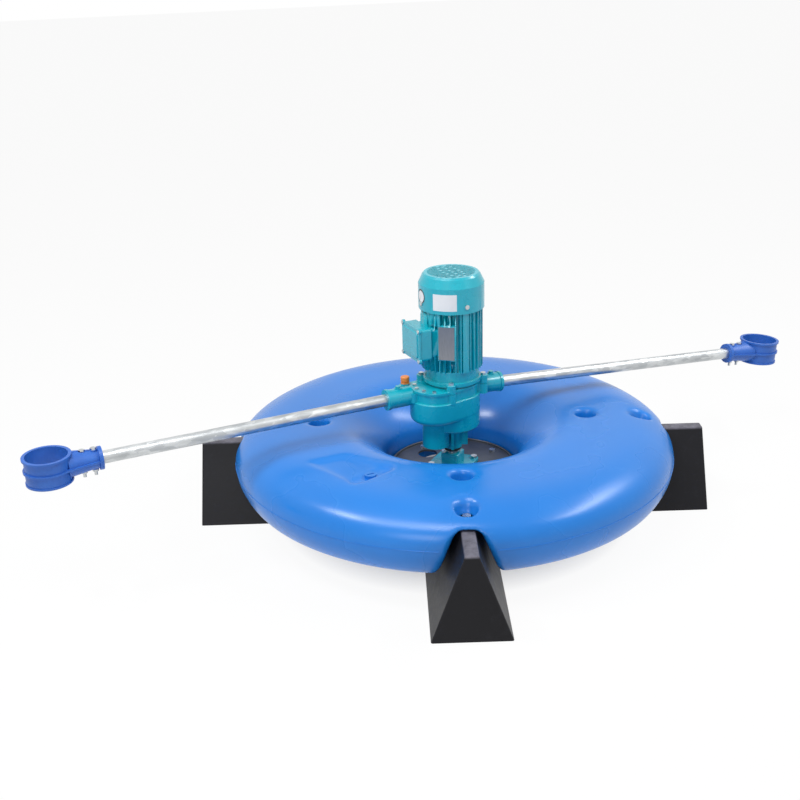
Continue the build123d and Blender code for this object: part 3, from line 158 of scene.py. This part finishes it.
# Gloss enamel sprayed on cast iron and aluminium: the casting's grain shows through softly.
enamel, tree, place = new_finish("enamel on castings, teal")
cloud = add(tree, "TexNoise", {"Vector": place, "Scale": per_mm(60), "Detail": 4.0})
base = add(tree, "MixRGB", {"Fac": cloud.outputs["Fac"], "Color1": colour("#009EB2"),
                            "Color2": colour("#06B2C3")})
grain = add(tree, "TexNoise", {"Vector": place, "Scale": per_mm(2.2), "Detail": 4.0, "Roughness": 0.6})
swell = add(tree, "TexNoise", {"Vector": place, "Scale": per_mm(14), "Detail": 2.0})
slow = add(tree, "Bump", {"Height": swell.outputs["Fac"], "Strength": 0.12, "Distance": 0.0006})
fine = add(tree, "Bump", {"Height": grain.outputs["Fac"], "Strength": 0.12, "Distance": 0.0002,
                          "Normal": slow.outputs[0]})
sheen = add(tree, "MapRange", {"Value": cloud.outputs["Fac"], "To Min": 0.20, "To Max": 0.34})
close_finish(tree, add(tree, "BsdfPrincipled", {
    "Base Color": base.outputs[0], "Roughness": sheen.outputs[0], "IOR": 1.5, "Normal": fine.outputs[0],
    "Coat Weight": 0.3, "Coat Roughness": 0.12}))

# Injection-moulded nylon, dark blue: low gloss with a fine spark-eroded texture.
nylon, tree, place = new_finish("moulded nylon, dark blue")
cloud = add(tree, "TexNoise", {"Vector": place, "Scale": per_mm(30), "Detail": 5.0})
base = add(tree, "MixRGB", {"Fac": cloud.outputs["Fac"], "Color1": colour("#2055AC"),
                            "Color2": colour("#2E6CC8")})
grain = add(tree, "TexNoise", {"Vector": place, "Scale": per_mm(1.6), "Detail": 2.0})
fine = add(tree, "Bump", {"Height": grain.outputs["Fac"], "Strength": 0.2, "Distance": 0.0003})
sheen = add(tree, "MapRange", {"Value": cloud.outputs["Fac"], "To Min": 0.34, "To Max": 0.5})
close_finish(tree, add(tree, "BsdfPrincipled", {
    "Base Color": base.outputs[0], "Roughness": sheen.outputs[0], "IOR": 1.53, "Normal": fine.outputs[0]}))

# Hot-dip galvanised steel tube: patches of zinc crystal a few millimetres across, drawn out a little.
galvanised, tree, place = new_finish("galvanised steel")
longer = add(tree, "Mapping", {"Vector": place, "Scale": (0.35, 1.0, 1.0)})
spangle = add(tree, "TexVoronoi", {"Vector": longer.outputs[0], "Scale": per_mm(9)})
patch = add(tree, "SeparateColor", {"Color": spangle.outputs["Color"]})
smear = add(tree, "TexNoise", {"Vector": longer.outputs[0], "Scale": per_mm(25), "Detail": 6.0})
tone = add(tree, "MixRGB", {"Fac": patch.outputs[0], "Color1": colour("#B2B6B9"),
                            "Color2": colour("#D6D9DA")})
dull = add(tree, "MapRange", {"Value": smear.outputs["Fac"], "From Min": 0.45, "From Max": 0.75,
                              "To Max": 0.6})
aged = add(tree, "MixRGB", {"Fac": dull.outputs[0], "Color1": tone.outputs[0], "Color2": colour("#9DA1A4")})
sheen = add(tree, "MapRange", {"Value": patch.outputs[1], "To Min": 0.28, "To Max": 0.45})
fine = add(tree, "Bump", {"Height": smear.outputs["Fac"], "Strength": 0.25, "Distance": 0.0004})
close_finish(tree, add(tree, "BsdfPrincipled", {
    "Base Color": aged.outputs[0], "Metallic": 1.0, "Roughness": sheen.outputs[0],
    "Normal": fine.outputs[0]}))

# Bright zinc plate on screws and nuts: a clean, slightly milky metal.
zinc, tree, place = new_finish("zinc plated steel")
cloud = add(tree, "TexNoise", {"Vector": place, "Scale": per_mm(6), "Detail": 3.0})
tone = add(tree, "MixRGB", {"Fac": cloud.outputs["Fac"], "Color1": colour("#B4B8BB"),
                            "Color2": colour("#D2D5D6")})
sheen = add(tree, "MapRange", {"Value": cloud.outputs["Fac"], "To Min": 0.2, "To Max": 0.36})
close_finish(tree, add(tree, "BsdfPrincipled", {
    "Base Color": tone.outputs[0], "Metallic": 1.0, "Roughness": sheen.outputs[0]}))

# Turned steel plate, blackened: rings from the lathe tool show about the rotor axis.
turned_plate, tree, place = new_finish("turned steel, blackened")
rings = add(tree, "TexWave", {"Vector": place, "Scale": bands_mm(3), "Distortion": 0.4,
                              "Detail": 2.0}, wave_type="RINGS", rings_direction="Z")
cloud = add(tree, "TexNoise", {"Vector": place, "Scale": per_mm(40), "Detail": 6.0, "Roughness": 0.6})
tone = add(tree, "MixRGB", {"Fac": cloud.outputs["Fac"], "Color1": colour("#484B50"),
                            "Color2": colour("#777A80")})
fine = add(tree, "Bump", {"Height": rings.outputs["Fac"], "Strength": 0.15, "Distance": 0.0003})
sheen = add(tree, "MapRange", {"Value": cloud.outputs["Fac"], "To Min": 0.3, "To Max": 0.5})
close_finish(tree, add(tree, "BsdfPrincipled", {
    "Base Color": tone.outputs[0], "Metallic": 0.85, "Roughness": sheen.outputs[0],
    "Normal": fine.outputs[0]}))

# Machined and ground steel of shafts, gears and bearings: fine rings about the vertical axis.
ground_steel, tree, place = new_finish("ground steel")
lines = add(tree, "TexWave", {"Vector": place, "Scale": bands_mm(2.5), "Distortion": 1.0,
                              "Detail": 3.0}, wave_type="BANDS", bands_direction="Z")
cloud = add(tree, "TexNoise", {"Vector": place, "Scale": per_mm(18), "Detail": 4.0})
tone = add(tree, "MixRGB", {"Fac": cloud.outputs["Fac"], "Color1": colour("#8C9094"),
                            "Color2": colour("#B6BABD")})
fine = add(tree, "Bump", {"Height": lines.outputs["Fac"], "Strength": 0.1, "Distance": 0.0002})
close_finish(tree, add(tree, "BsdfPrincipled", {
    "Base Color": tone.outputs[0], "Metallic": 1.0, "Roughness": 0.32, "Normal": fine.outputs[0]}))

# Varnished copper winding heads: strands laid round the bore.
winding, tree, place = new_finish("varnished copper wire")
strands = add(tree, "TexWave", {"Vector": place, "Scale": bands_mm(2.0), "Distortion": 3.0,
                                "Detail": 3.0}, wave_type="BANDS", bands_direction="Z")
tone = add(tree, "MixRGB", {"Fac": strands.outputs["Fac"], "Color1": colour("#6B3418"),
                            "Color2": colour("#B4703C")})
fine = add(tree, "Bump", {"Height": strands.outputs["Fac"], "Strength": 0.5, "Distance": 0.0008})
close_finish(tree, add(tree, "BsdfPrincipled", {
    "Base Color": tone.outputs[0], "Metallic": 0.6, "Roughness": 0.3, "Normal": fine.outputs[0]}))

# Moulded orange plastic of the breather cap: smooth, a little dusty.
orange_cap, tree, place = new_finish("moulded ABS, orange")
cloud = add(tree, "TexNoise", {"Vector": place, "Scale": per_mm(5), "Detail": 4.0})
tone = add(tree, "MixRGB", {"Fac": cloud.outputs["Fac"], "Color1": colour("#EE8438"),
                            "Color2": colour("#F79A4C")})
sheen = add(tree, "MapRange", {"Value": cloud.outputs["Fac"], "To Min": 0.25, "To Max": 0.45})
close_finish(tree, add(tree, "BsdfPrincipled", {
    "Base Color": tone.outputs[0], "Roughness": sheen.outputs[0], "IOR": 1.54}))

# Nitrile rubber of seals and gaskets: matt black with a soft grain.
rubber, tree, place = new_finish("nitrile rubber")
grain = add(tree, "TexNoise", {"Vector": place, "Scale": per_mm(1.5), "Detail": 3.0})
tone = add(tree, "MixRGB", {"Fac": grain.outputs["Fac"], "Color1": colour("#141414"),
                            "Color2": colour("#242424")})
fine = add(tree, "Bump", {"Height": grain.outputs["Fac"], "Strength": 0.3, "Distance": 0.0003})
close_finish(tree, add(tree, "BsdfPrincipled", {
    "Base Color": tone.outputs[0], "Roughness": 0.75, "IOR": 1.5, "Normal": fine.outputs[0]}))

# Black moulded nylon of the fan, terminal block and gland.
black_nylon, tree, place = new_finish("moulded nylon, black")
grain = add(tree, "TexNoise", {"Vector": place, "Scale": per_mm(1.8), "Detail": 3.0})
tone = add(tree, "MixRGB", {"Fac": grain.outputs["Fac"], "Color1": colour("#181A1B"),
                            "Color2": colour("#2A2C2E")})
fine = add(tree, "Bump", {"Height": grain.outputs["Fac"], "Strength": 0.2, "Distance": 0.0002})
close_finish(tree, add(tree, "BsdfPrincipled", {
    "Base Color": tone.outputs[0], "Roughness": 0.45, "IOR": 1.53, "Normal": fine.outputs[0]}))

# Anodised aluminium of the rating plate: fine brushing along its height, left bare.
plate_metal, tree, place = new_finish("anodised aluminium, brushed")
brushing = add(tree, "Mapping", {"Vector": place, "Scale": (1.0, 1.0, 0.04)})
strokes = add(tree, "TexNoise", {"Vector": brushing.outputs[0], "Scale": per_mm(0.8), "Detail": 3.0})
tone = add(tree, "MixRGB", {"Fac": strokes.outputs["Fac"], "Color1": colour("#6A6D72"),
                            "Color2": colour("#97999D")})
sheen = add(tree, "MapRange", {"Value": strokes.outputs["Fac"], "To Min": 0.3, "To Max": 0.5})
close_finish(tree, add(tree, "BsdfPrincipled", {
    "Base Color": tone.outputs[0], "Metallic": 1.0, "Roughness": sheen.outputs[0]}))

# Laminated paper labels, left blank: white with the slight unevenness of paper under film.
label_paper, tree, place = new_finish("laminated paper, white")
fibre = add(tree, "TexNoise", {"Vector": place, "Scale": per_mm(1.2), "Detail": 4.0})
tone = add(tree, "MixRGB", {"Fac": fibre.outputs["Fac"], "Color1": colour("#DCDFE1"),
                            "Color2": colour("#ECEEEF")})
close_finish(tree, add(tree, "BsdfPrincipled", {
    "Base Color": tone.outputs[0], "Roughness": 0.3, "IOR": 1.5}))

finish_of_slot = {
    "float_blue": moulded_blue, "blade_black": moulded_black, "teal_paint": enamel, "bracket_blue": nylon,
    "galvanised": galvanised, "zinc": zinc, "plate_steel": turned_plate, "gear_steel": ground_steel,
    "winding_copper": winding, "breather_orange": orange_cap, "seal_rubber": rubber,
    "black_plastic": black_nylon,
}
for subpart in record["subparts"]:
    skin = nodes[subpart["node"]].data.materials
    skin.clear()
    skin.append(finish_of_slot[subpart["material_slot"]])


# Modelling by hand: every helper starts from a deselected scene and leaves one object active
def choose(piece):
    """Makes one object the only selected and active one."""
    bpy.ops.object.select_all(action="DESELECT")
    piece.select_set(True)
    bpy.context.view_layer.objects.active = piece


def edit(piece, kind="VERT"):
    """Opens a piece in edit mode with nothing selected."""
    choose(piece)
    bpy.ops.object.mode_set(mode="EDIT")
    bpy.ops.mesh.select_mode(type=kind)
    bpy.ops.mesh.select_all(action="DESELECT")


def pick(piece, kind, test):
    """Selects the vertices, edges or faces that pass a test, in edit mode."""
    bpy.ops.mesh.select_mode(type=kind)
    bpy.ops.mesh.select_all(action="DESELECT")
    bpy.ops.object.mode_set(mode="OBJECT")
    group = {"VERT": piece.data.vertices, "EDGE": piece.data.edges, "FACE": piece.data.polygons}[kind]
    for item in group:
        item.select = test(item)
    bpy.ops.object.mode_set(mode="EDIT")


def leave_edit():
    bpy.ops.object.mode_set(mode="OBJECT")


def settle(piece):
    """Puts a piece's place into its mesh, with its object at the origin."""
    choose(piece)
    bpy.ops.object.transform_apply(location=True, rotation=True, scale=True)


def outward(piece, merge=0.00001):
    """Merges doubles and turns every face outwards."""
    edit(piece)
    bpy.ops.mesh.select_all(action="SELECT")
    bpy.ops.mesh.remove_doubles(threshold=merge)
    bpy.ops.mesh.normals_make_consistent(inside=False)
    leave_edit()


def drawn(name, points):
    """A line of edges through points given in millimetres, drawn by extruding a plane's first corner."""
    seed_size = 1.0
    bpy.ops.object.select_all(action="DESELECT")
    bpy.ops.mesh.primitive_plane_add(size=seed_size * MM, location=(0, 0, 0))
    line = bpy.context.object
    line.name = name
    edit(line)
    pick(line, "VERT", lambda vertex: vertex.index > 0)
    bpy.ops.mesh.delete(type="VERT")
    bpy.ops.mesh.select_all(action="SELECT")
    corner = Vector((-seed_size / 2, -seed_size / 2, 0))
    bpy.ops.transform.translate(value=(Vector(points[0]) - corner) * MM)
    for before, after in zip(points, points[1:]):
        bpy.ops.mesh.extrude_region_move(
            TRANSFORM_OT_translate={"value": (Vector(after) - Vector(before)) * MM})
    leave_edit()
    return line


def turned(name, outline, steps, centre=(0, 0), closed=True):
    """A solid of revolution about a vertical axis from (radius, height) points in millimetres."""
    points = [(centre[0] + r, centre[1], z) for r, z in outline]
    if closed:
        points.append(points[0])
    piece = drawn(name, points)
    edit(piece)
    bpy.ops.mesh.select_all(action="SELECT")
    bpy.ops.mesh.spin(steps=steps, angle=2 * math.pi, center=(centre[0] * MM, centre[1] * MM, 0),
                      axis=(0, 0, 1))
    leave_edit()
    outward(piece)
    return piece


def lofted(name, loops):
    """A closed solid bridged between loops that have the same number of points, in millimetres."""
    lines = []
    for loop in loops:
        line = drawn(name, loop + loop[:1])
        edit(line)
        bpy.ops.mesh.select_all(action="SELECT")
        bpy.ops.mesh.remove_doubles(threshold=0.00001)
        leave_edit()
        lines.append(line)
    choose(lines[0])
    for line in lines:
        line.select_set(True)
    bpy.ops.object.join()
    piece = bpy.context.object
    edit(piece, "EDGE")
    bpy.ops.mesh.select_all(action="SELECT")
    bpy.ops.mesh.bridge_edge_loops()
    bpy.ops.mesh.select_all(action="SELECT")
    bpy.ops.mesh.fill_holes(sides=0)
    leave_edit()
    outward(piece)
    return piece


def copied(piece, turn):
    """A copy with its own mesh, turned about the rotor axis by degrees."""
    choose(piece)
    bpy.ops.object.duplicate(linked=False)
    twin = bpy.context.object
    twin.matrix_world = Matrix.Rotation(math.radians(turn), 4, "Z")
    settle(twin)
    return twin


def cut(piece, cutter, operation="DIFFERENCE"):
    """Takes a cutter out of a piece, and the cutter out of the scene."""
    choose(piece)
    step = piece.modifiers.new("cut", "BOOLEAN")
    step.operation = operation
    step.solver = "EXACT"
    step.object = cutter
    bpy.ops.object.modifier_apply(modifier=step.name)
    bpy.data.objects.remove(cutter)


def apply_step(piece, kind, **settings):
    """Adds one modifier, sets it and applies it."""
    choose(piece)
    step = piece.modifiers.new("step", kind)
    for name, value in settings.items():
        setattr(step, name, value)
    bpy.ops.object.modifier_apply(modifier=step.name)


def dress(piece, name, finish, body, replaced=(), smooth=35.0):
    """Names a finished piece, gives it its finish and lets it ride on its body."""
    piece.name = name
    piece.data.name = name
    piece.data.materials.clear()
    piece.data.materials.append(finish)
    choose(piece)
    bpy.ops.object.shade_smooth_by_angle(angle=math.radians(smooth))
    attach(piece, body)
    if replaced:
        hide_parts(*replaced)
    return piece


def direction(angle):
    """The level unit vector at an angle in degrees."""
    return Vector((math.cos(math.radians(angle)), math.sin(math.radians(angle)), 0.0))


# Float shell: the solid's section turned about the rotor axis, then the grooves, pockets and
# recesses cut, and every lip rounded as a rotational moulding leaves it
hole_radius = 178
hole_ledge = 114
foot_radius = 548
round_steps = 128
lip_voxel = 6.2
lip_passes = 12


def curve_through(points, first, last):
    """A smooth curve's points through the given ones, setting out and arriving along two vectors.

    The longer a vector, the longer the curve keeps to its direction.
    """
    span_steps, sweeps = 6, 40
    points = [Vector(point) for point in points]
    gaps = [(after - before).length for before, after in zip(points, points[1:])]
    ways = [Vector(first)] + [Vector((0, 0)) for point in points[2:]] + [Vector(last)]
    for sweep in range(sweeps):
        for k in range(1, len(points) - 1):
            back, on = gaps[k - 1], gaps[k]
            pull = 3 * ((points[k] - points[k - 1]) / back**2 + (points[k + 1] - points[k]) / on**2)
            ways[k] = (pull - ways[k - 1] / back - ways[k + 1] / on) / (2 / back + 2 / on)
    curve = []
    for k, gap in enumerate(gaps):
        for step in range(span_steps):
            u = step / span_steps
            v = 1 - u
            curve.append((1 + 2 * u) * v**2 * points[k] + u * v**2 * gap * ways[k]
                         + (1 + 2 * v) * u**2 * points[k + 1] - v * u**2 * gap * ways[k + 1])
    return curve + [points[-1]]


bulge = 0.5 ** (1 / 2.3)
shoulder = (crest_radius + bulge * (float_radius - crest_radius),
            seam_height + bulge * (crest_height - seam_height))
float_outline = [Vector((hole_radius, float_underside))]
for points, first, last in (
        ([(foot_radius, float_underside), (584, 121), (float_radius, seam_height)], (1.3, 0.13), (0, 1.1)),
        ([(float_radius, seam_height), shoulder, (crest_radius, crest_height)], (0, 1.5), (-1.5, 0)),
        ([(crest_radius, crest_height), (270, 246), (192, 180), (hole_radius, hole_ledge)],
         (-1.6, 0), (0, -1.5))):
    float_outline += curve_through(points, first, last)[:-1]
float_outline.append(Vector((hole_radius, hole_ledge)))
float_shell = turned("float_shell", float_outline, round_steps)


def rounded_trapezium(distance, foot, top, low, high, radius):
    """A groove's section across the blade, with its two upper corners rounded."""
    corner_steps = 6
    arc = []
    lean = math.atan2(foot - top, high - low)
    middle_y = top - radius * (1 - math.sin(lean)) / math.cos(lean)
    middle_z = high - radius
    for step in range(corner_steps + 1):
        turn = lean + (math.pi / 2 - lean) * step / corner_steps
        arc.append((distance, middle_y + radius * math.cos(turn), middle_z + radius * math.sin(turn)))
    far_side = [(distance, -y, z) for x, y, z in reversed(arc)]
    return [(distance, foot, low)] + arc + far_side + [(distance, -foot, low)]


# Each row of a groove: distance from the axis, half width at the foot and at the roof, the roof's
# height, and its corners' radius. The last three rows flare to the mouth at the float's rim.
groove_low = 60
groove_rows = (
    (322, 101, 19.5, 222, 8),
    (505, 101, 19.5, 222, 8),
    (560, 94, 25, 219, 14),
    (586, 89, 32, 218.5, 24),
    (602, 90, 42, 220, 34),
    (640, 108, 70, 230, 44),
)
groove_cutter = lofted("groove_cutter", [
    rounded_trapezium(distance, foot, top, groove_low, high, radius)
    for distance, foot, top, high, radius in groove_rows])

# Each bolt pocket: its distance from the axis, and the height of the float's top round it
pocket_floor = 223
pocket_floor_radius = 23
pocket_reach = 40
above_float = 300
pocket_cutters = []
for pocket_distance, rim in ((367, 263), (522, 254)):
    pocket_cutters.append(turned("pocket_cutter", [
        (0, pocket_floor), (pocket_floor_radius, pocket_floor), (26, 240), (27, rim - 8), (29, rim - 3),
        (33, rim), (pocket_reach, rim + 2), (pocket_reach, above_float), (0, above_float)],
        32, (pocket_distance, 0), closed=False))
for place in range(4):
    angle = blade_turn + 90 * place
    cut(float_shell, copied(groove_cutter, angle))
    for pocket_cutter in pocket_cutters:
        cut(float_shell, copied(pocket_cutter, angle))
for piece in [groove_cutter] + pocket_cutters:
    bpy.data.objects.remove(piece)


def slab(name, corners, low, high):
    """A flat plate between two heights, from corners in millimetres."""
    return lofted(name, [[(x, y, low) for x, y in corners], [(x, y, high) for x, y in corners]])


# The long recess round the bung
slot_middle = direction(-146.9) * 412
slot_turn = 16.9
slot_half_length = 48
slot_radius = 19
slot_floor = 252
end_steps = 12
slot_outline = []
for side in (1, -1):
    for step in range(end_steps + 1):
        turn = slot_turn - 90 * side + 180 * step / end_steps
        spot = slot_middle + direction(slot_turn) * slot_half_length * side + direction(turn) * slot_radius
        slot_outline.append((spot.x, spot.y))
cut(float_shell, slab("slot_cutter", slot_outline, slot_floor, above_float))

# The shallow bare field beside it, whose corners are given as if the blades pointed along X and Y
field_floor = 257
field = []
for x, y in ((-383, -266), (-269, -392), (-163, -314), (-290, -232)):
    corner = Matrix.Rotation(math.radians(blade_turn), 3, "Z") @ Vector((x, y, 0))
    field.append((corner.x, corner.y))
cut(float_shell, slab("field_cutter", field, field_floor, above_float))

apply_step(float_shell, "REMESH", mode="VOXEL", voxel_size=lip_voxel * MM, use_smooth_shade=True)
apply_step(float_shell, "SMOOTH", factor=0.5, iterations=lip_passes)
dress(float_shell, "float_shell", moulded_blue, "floating_impeller", ["float_ring"], 60)

# The mould's parting line: a thin flash round the float's widest place, broken at the grooves
flash_root = float_radius - 4
flash_outline = [
    (flash_root, seam_height - 1.4), (float_radius + 0.3, seam_height - 0.6),
    (float_radius + 0.6, seam_height), (float_radius + 0.3, seam_height + 0.6),
    (flash_root, seam_height + 1.4),
]
float_flash = turned("float_flash", flash_outline, round_steps)
flash_gap = lofted("flash_gap", [
    rounded_trapezium(float_radius + reach, 76, 52, 150, 236, 30) for reach in (-10, 10)])
for place in range(4):
    cut(float_flash, copied(flash_gap, blade_turn + 90 * place))
bpy.data.objects.remove(flash_gap)
dress(float_flash, "float_flash", moulded_blue, "floating_impeller")

body_of = {}
for body, members in record["behaviour"]["bodies"].items():
    for member in members:
        body_of[member] = body


def softened(node, name, width):
    """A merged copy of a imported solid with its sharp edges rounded, as a casting or moulding has them."""
    flat_within, sharp_above = math.radians(0.5), math.radians(40)
    choose(nodes[node])
    bpy.ops.object.duplicate(linked=False)
    piece = bpy.context.object
    outward(piece, node_merge)
    edit(piece)
    bpy.ops.mesh.select_all(action="SELECT")
    bpy.ops.mesh.dissolve_limited(angle_limit=flat_within)
    leave_edit()
    apply_step(piece, "BEVEL", width=width * MM, segments=2, limit_method="ANGLE",
               angle_limit=sharp_above, use_clamp_overlap=True)
    slot = next(row["material_slot"] for row in record["subparts"] if row["node"] == node)
    dress(piece, name, finish_of_slot[slot], body_of[node], [node])
    apply_step(piece, "WEIGHTED_NORMAL", keep_sharp=True, weight=50)


node_merge = 0.000001
for node, name, width in (
        ("gear_case", "gear_case_casting", 1.6), ("case_cover", "cover_casting", 1.2),
        ("drive_shield", "shield_casting", 1.2), ("rear_shield", "rear_casting", 1.0),
        ("terminal_box", "box_casting", 1.2), ("terminal_lid", "lid_casting", 1.2),
        ("bracket_left", "bracket_left_moulding", 1.2), ("bracket_right", "bracket_right_moulding", 1.2)):
    softened(node, name, width)

# Motor frame: the flat seat is no taller than the rating plate, so the fins run on above and below
# it. The outermost gap is cut below only, because the terminal box stands above.
below = (frame_low, plate_height - 48)
above = (plate_height + 48, frame_high)
gap_sides = ((66, 4.2), (90, 6.4), (90, -6.4), (66, -4.2))
choose(nodes["motor_frame"])
bpy.ops.object.duplicate(linked=False)
finned_frame = bpy.context.object
outward(finned_frame, node_merge)
for gap, spans in ((-145, (below,)), (-135, (below, above)), (-125, (below, above)), (-115, (below, above))):
    outline = []
    for distance, half in gap_sides:
        spot = direction(gap) * distance + direction(gap + 90) * half
        outline.append((spot.x, spot.y))
    for low, high in spans:
        cut(finned_frame, slab("fin_gap", outline, low, high))
dress(finned_frame, "finned_frame", enamel, "drive_unit", ["motor_frame"], 30)

# Rating plate with a raised edge and four rivets, on the frame's flat pad
plate_thickness = 0.9
plate_edge = 1.6
plate_dip = 0.4
rivet_inset = 3
plate_out = direction(plate_angle)
plate_along = direction(plate_angle + 90)


def on_plate(out, inset):
    """The plate's four corners, moved out from its back and in from its sides."""
    across, up = plate_half_width - inset, plate_half_height - inset
    back = plate_out * (plate_distance + out) + Vector((0, 0, plate_height))
    return [back + plate_along * (side * across) + Vector((0, 0, end * up))
            for side, end in ((-1, -1), (1, -1), (1, 1), (-1, 1))]


rating_plate = lofted("rating_plate", [on_plate(0, 0), on_plate(plate_thickness, 0)])
edit(rating_plate)
pick(rating_plate, "FACE", lambda face: face.normal.dot(plate_out) > 0.9)
bpy.ops.mesh.inset(thickness=plate_edge * MM, depth=-plate_dip * MM)
leave_edit()
rivets = []
for spot in on_plate(plate_thickness, rivet_inset):
    bpy.ops.object.select_all(action="DESELECT")
    bpy.ops.mesh.primitive_cylinder_add(vertices=16, radius=1.6 * MM, depth=1.4 * MM, location=spot * MM,
                                        rotation=plate_out.to_track_quat("Z", "Y").to_euler())
    rivet = bpy.context.object
    settle(rivet)
    edit(rivet, "EDGE")
    bpy.ops.mesh.select_all(action="SELECT")
    bpy.ops.mesh.bevel(offset=0.5 * MM, segments=3, affect="EDGES")
    leave_edit()
    rivets.append(rivet)
choose(rating_plate)
for rivet in rivets:
    rivet.select_set(True)
bpy.ops.object.join()
dress(rating_plate, "rating_plate", plate_metal, "drive_unit")


def wrapped(name, first, last, low, high, proud):
    """A thin curved sheet on the fan cover between two angles and two heights, standing a little proud."""
    steps = 24
    inner, outer = cover_radius - 0.1, cover_radius + proud
    side = direction(first)
    corners = ((inner, low), (outer, low), (outer, high), (inner, high))
    outline = [(side.x * r, side.y * r, z) for r, z in corners]
    sheet = drawn(name, outline + outline[:1])
    edit(sheet)
    bpy.ops.mesh.select_all(action="SELECT")
    bpy.ops.mesh.remove_doubles(threshold=0.00001)
    bpy.ops.mesh.edge_face_add()
    bpy.ops.mesh.select_all(action="SELECT")
    bpy.ops.mesh.spin(steps=steps, angle=-math.radians(last - first), center=(0, 0, 0), axis=(0, 0, 1))
    leave_edit()
    outward(sheet)
    return sheet


# The blank label on the fan cover
cover_label = wrapped("cover_label", -150, -108, 592, 636, 0.3)
dress(cover_label, "cover_label", label_paper, "drive_unit")

# The blank round label above the terminal box, with its dark rim
round_place = (-cover_radius, 3, 620)


def round_punch(radius):
    """A level cylinder through the round label's middle."""
    bpy.ops.object.select_all(action="DESELECT")
    bpy.ops.mesh.primitive_cylinder_add(vertices=48, radius=radius * MM, depth=80 * MM,
                                        location=Vector(round_place) * MM, rotation=(0, math.pi / 2, 0))
    punch = bpy.context.object
    settle(punch)
    return punch


def round_label(name, inner_radius, outer_radius, finish, proud):
    """A disc or a ring on the fan cover's side, cut from a curved sheet."""
    sheet = wrapped(name, -197, -166, 598, 642, proud)
    cut(sheet, round_punch(outer_radius), "INTERSECT")
    if inner_radius:
        cut(sheet, round_punch(inner_radius))
    dress(sheet, name, finish, "drive_unit")


round_label("round_label", 0, 15.5, label_paper, 0.3)
round_label("round_label_rim", 15.5, 19, black_nylon, 0.35)


# The floor, the lights and the camera
def seen(tree):
    """1 where the camera looks, straight or by way of a reflection or a clear piece, and else 0."""
    ray = add(tree, "LightPath", {})
    looks = add(tree, "Math", {0: ray.outputs["Is Camera Ray"], 1: ray.outputs["Is Glossy Ray"]},
                operation="ADD")
    looks = add(tree, "Math", {0: looks.outputs[0], 1: ray.outputs["Is Transmission Ray"]},
                operation="ADD", use_clamp=True)
    return looks.outputs[0]


# The floor glows to the eye only away from the float's hole, so its shadow stays under the float
bpy.ops.object.select_all(action="DESELECT")
bpy.ops.mesh.primitive_plane_add(size=60, location=(0, 0, 0))
floor = bpy.context.object
floor.name = "floor"
pale, tree, place = new_finish("pale floor")
distance = add(tree, "VectorMath", {0: place}, operation="LENGTH")
away = add(tree, "MapRange", {"Value": distance.outputs["Value"], "From Min": 0.25, "From Max": 0.5,
                              "To Max": 0.94})
share = add(tree, "Math", {0: seen(tree), 1: away.outputs[0]}, operation="MULTIPLY")
matt = add(tree, "BsdfDiffuse", {"Color": colour("#F4F4F4")})
glow = add(tree, "Emission", {"Color": (1, 1, 1, 1), "Strength": 1.0})
close_finish(tree, add(tree, "MixShader", {0: share.outputs[0], 1: matt.outputs[0], 2: glow.outputs[0]}))
floor.data.materials.append(pale)

# A white room that sheds only a little light
world = bpy.data.worlds.new("studio")
bpy.context.scene.world = world
world.use_nodes = True
tree = world.node_tree
tree.nodes.clear()
level = add(tree, "MapRange", {"Value": seen(tree), "To Min": 0.20, "To Max": 1.0})
sky = add(tree, "Background", {"Color": (1, 1, 1, 1), "Strength": level.outputs[0]})
add(tree, "OutputWorld", {"Surface": sky.outputs[0]})


def soft_box(name, place, aim, width, height, watts):
    """A soft studio lamp that looks at a point."""
    bpy.ops.object.light_add(type="AREA", location=place)
    lamp = bpy.context.object
    lamp.name = name
    lamp.data.shape = "RECTANGLE"
    lamp.data.size = width
    lamp.data.size_y = height
    lamp.data.energy = watts
    lamp.rotation_euler = (Vector(aim) - Vector(place)).to_track_quat("-Z", "Y").to_euler()


# Two large lamps for the shape, and two long ones for the highlights on the float's shoulders
middle = (0, 0, 0.2)
soft_box("top light", (-1.2, -1.0, 3.3), middle, width=1.7, height=1.1, watts=52)
soft_box("front light", (-2.8, -3.0, 1.9), (0, 0, 0.3), width=1.4, height=1.4, watts=30)
soft_box("left light", (-2.0, 0.3, 2.95), middle, width=0.9, height=0.4, watts=36)
soft_box("right light", (1.95, -0.95, 2.55), middle, width=2.3, height=0.35, watts=46)

# The camera as it was fitted to the photo: its place, its three axes and its lens
view_place = Vector((-1.314578, -2.546948, 1.459713))
view_right = Vector((0.90580326, -0.42291818, -0.02570344))
view_up = Vector((0.17857314, 0.32604588, 0.92833492))
view_ahead = Vector((0.38422921, 0.84547874, -0.37085525))
bpy.ops.object.camera_add()
camera = bpy.context.object
camera.matrix_world = Matrix.Translation(view_place) @ Matrix(
    (view_right, view_up, -view_ahead)).transposed().to_4x4()
camera.data.lens = 50.65
camera.data.sensor_width = 36.0
camera.data.clip_end = 100
bpy.context.scene.camera = camera
bpy.context.scene.view_settings.view_transform = "Standard"
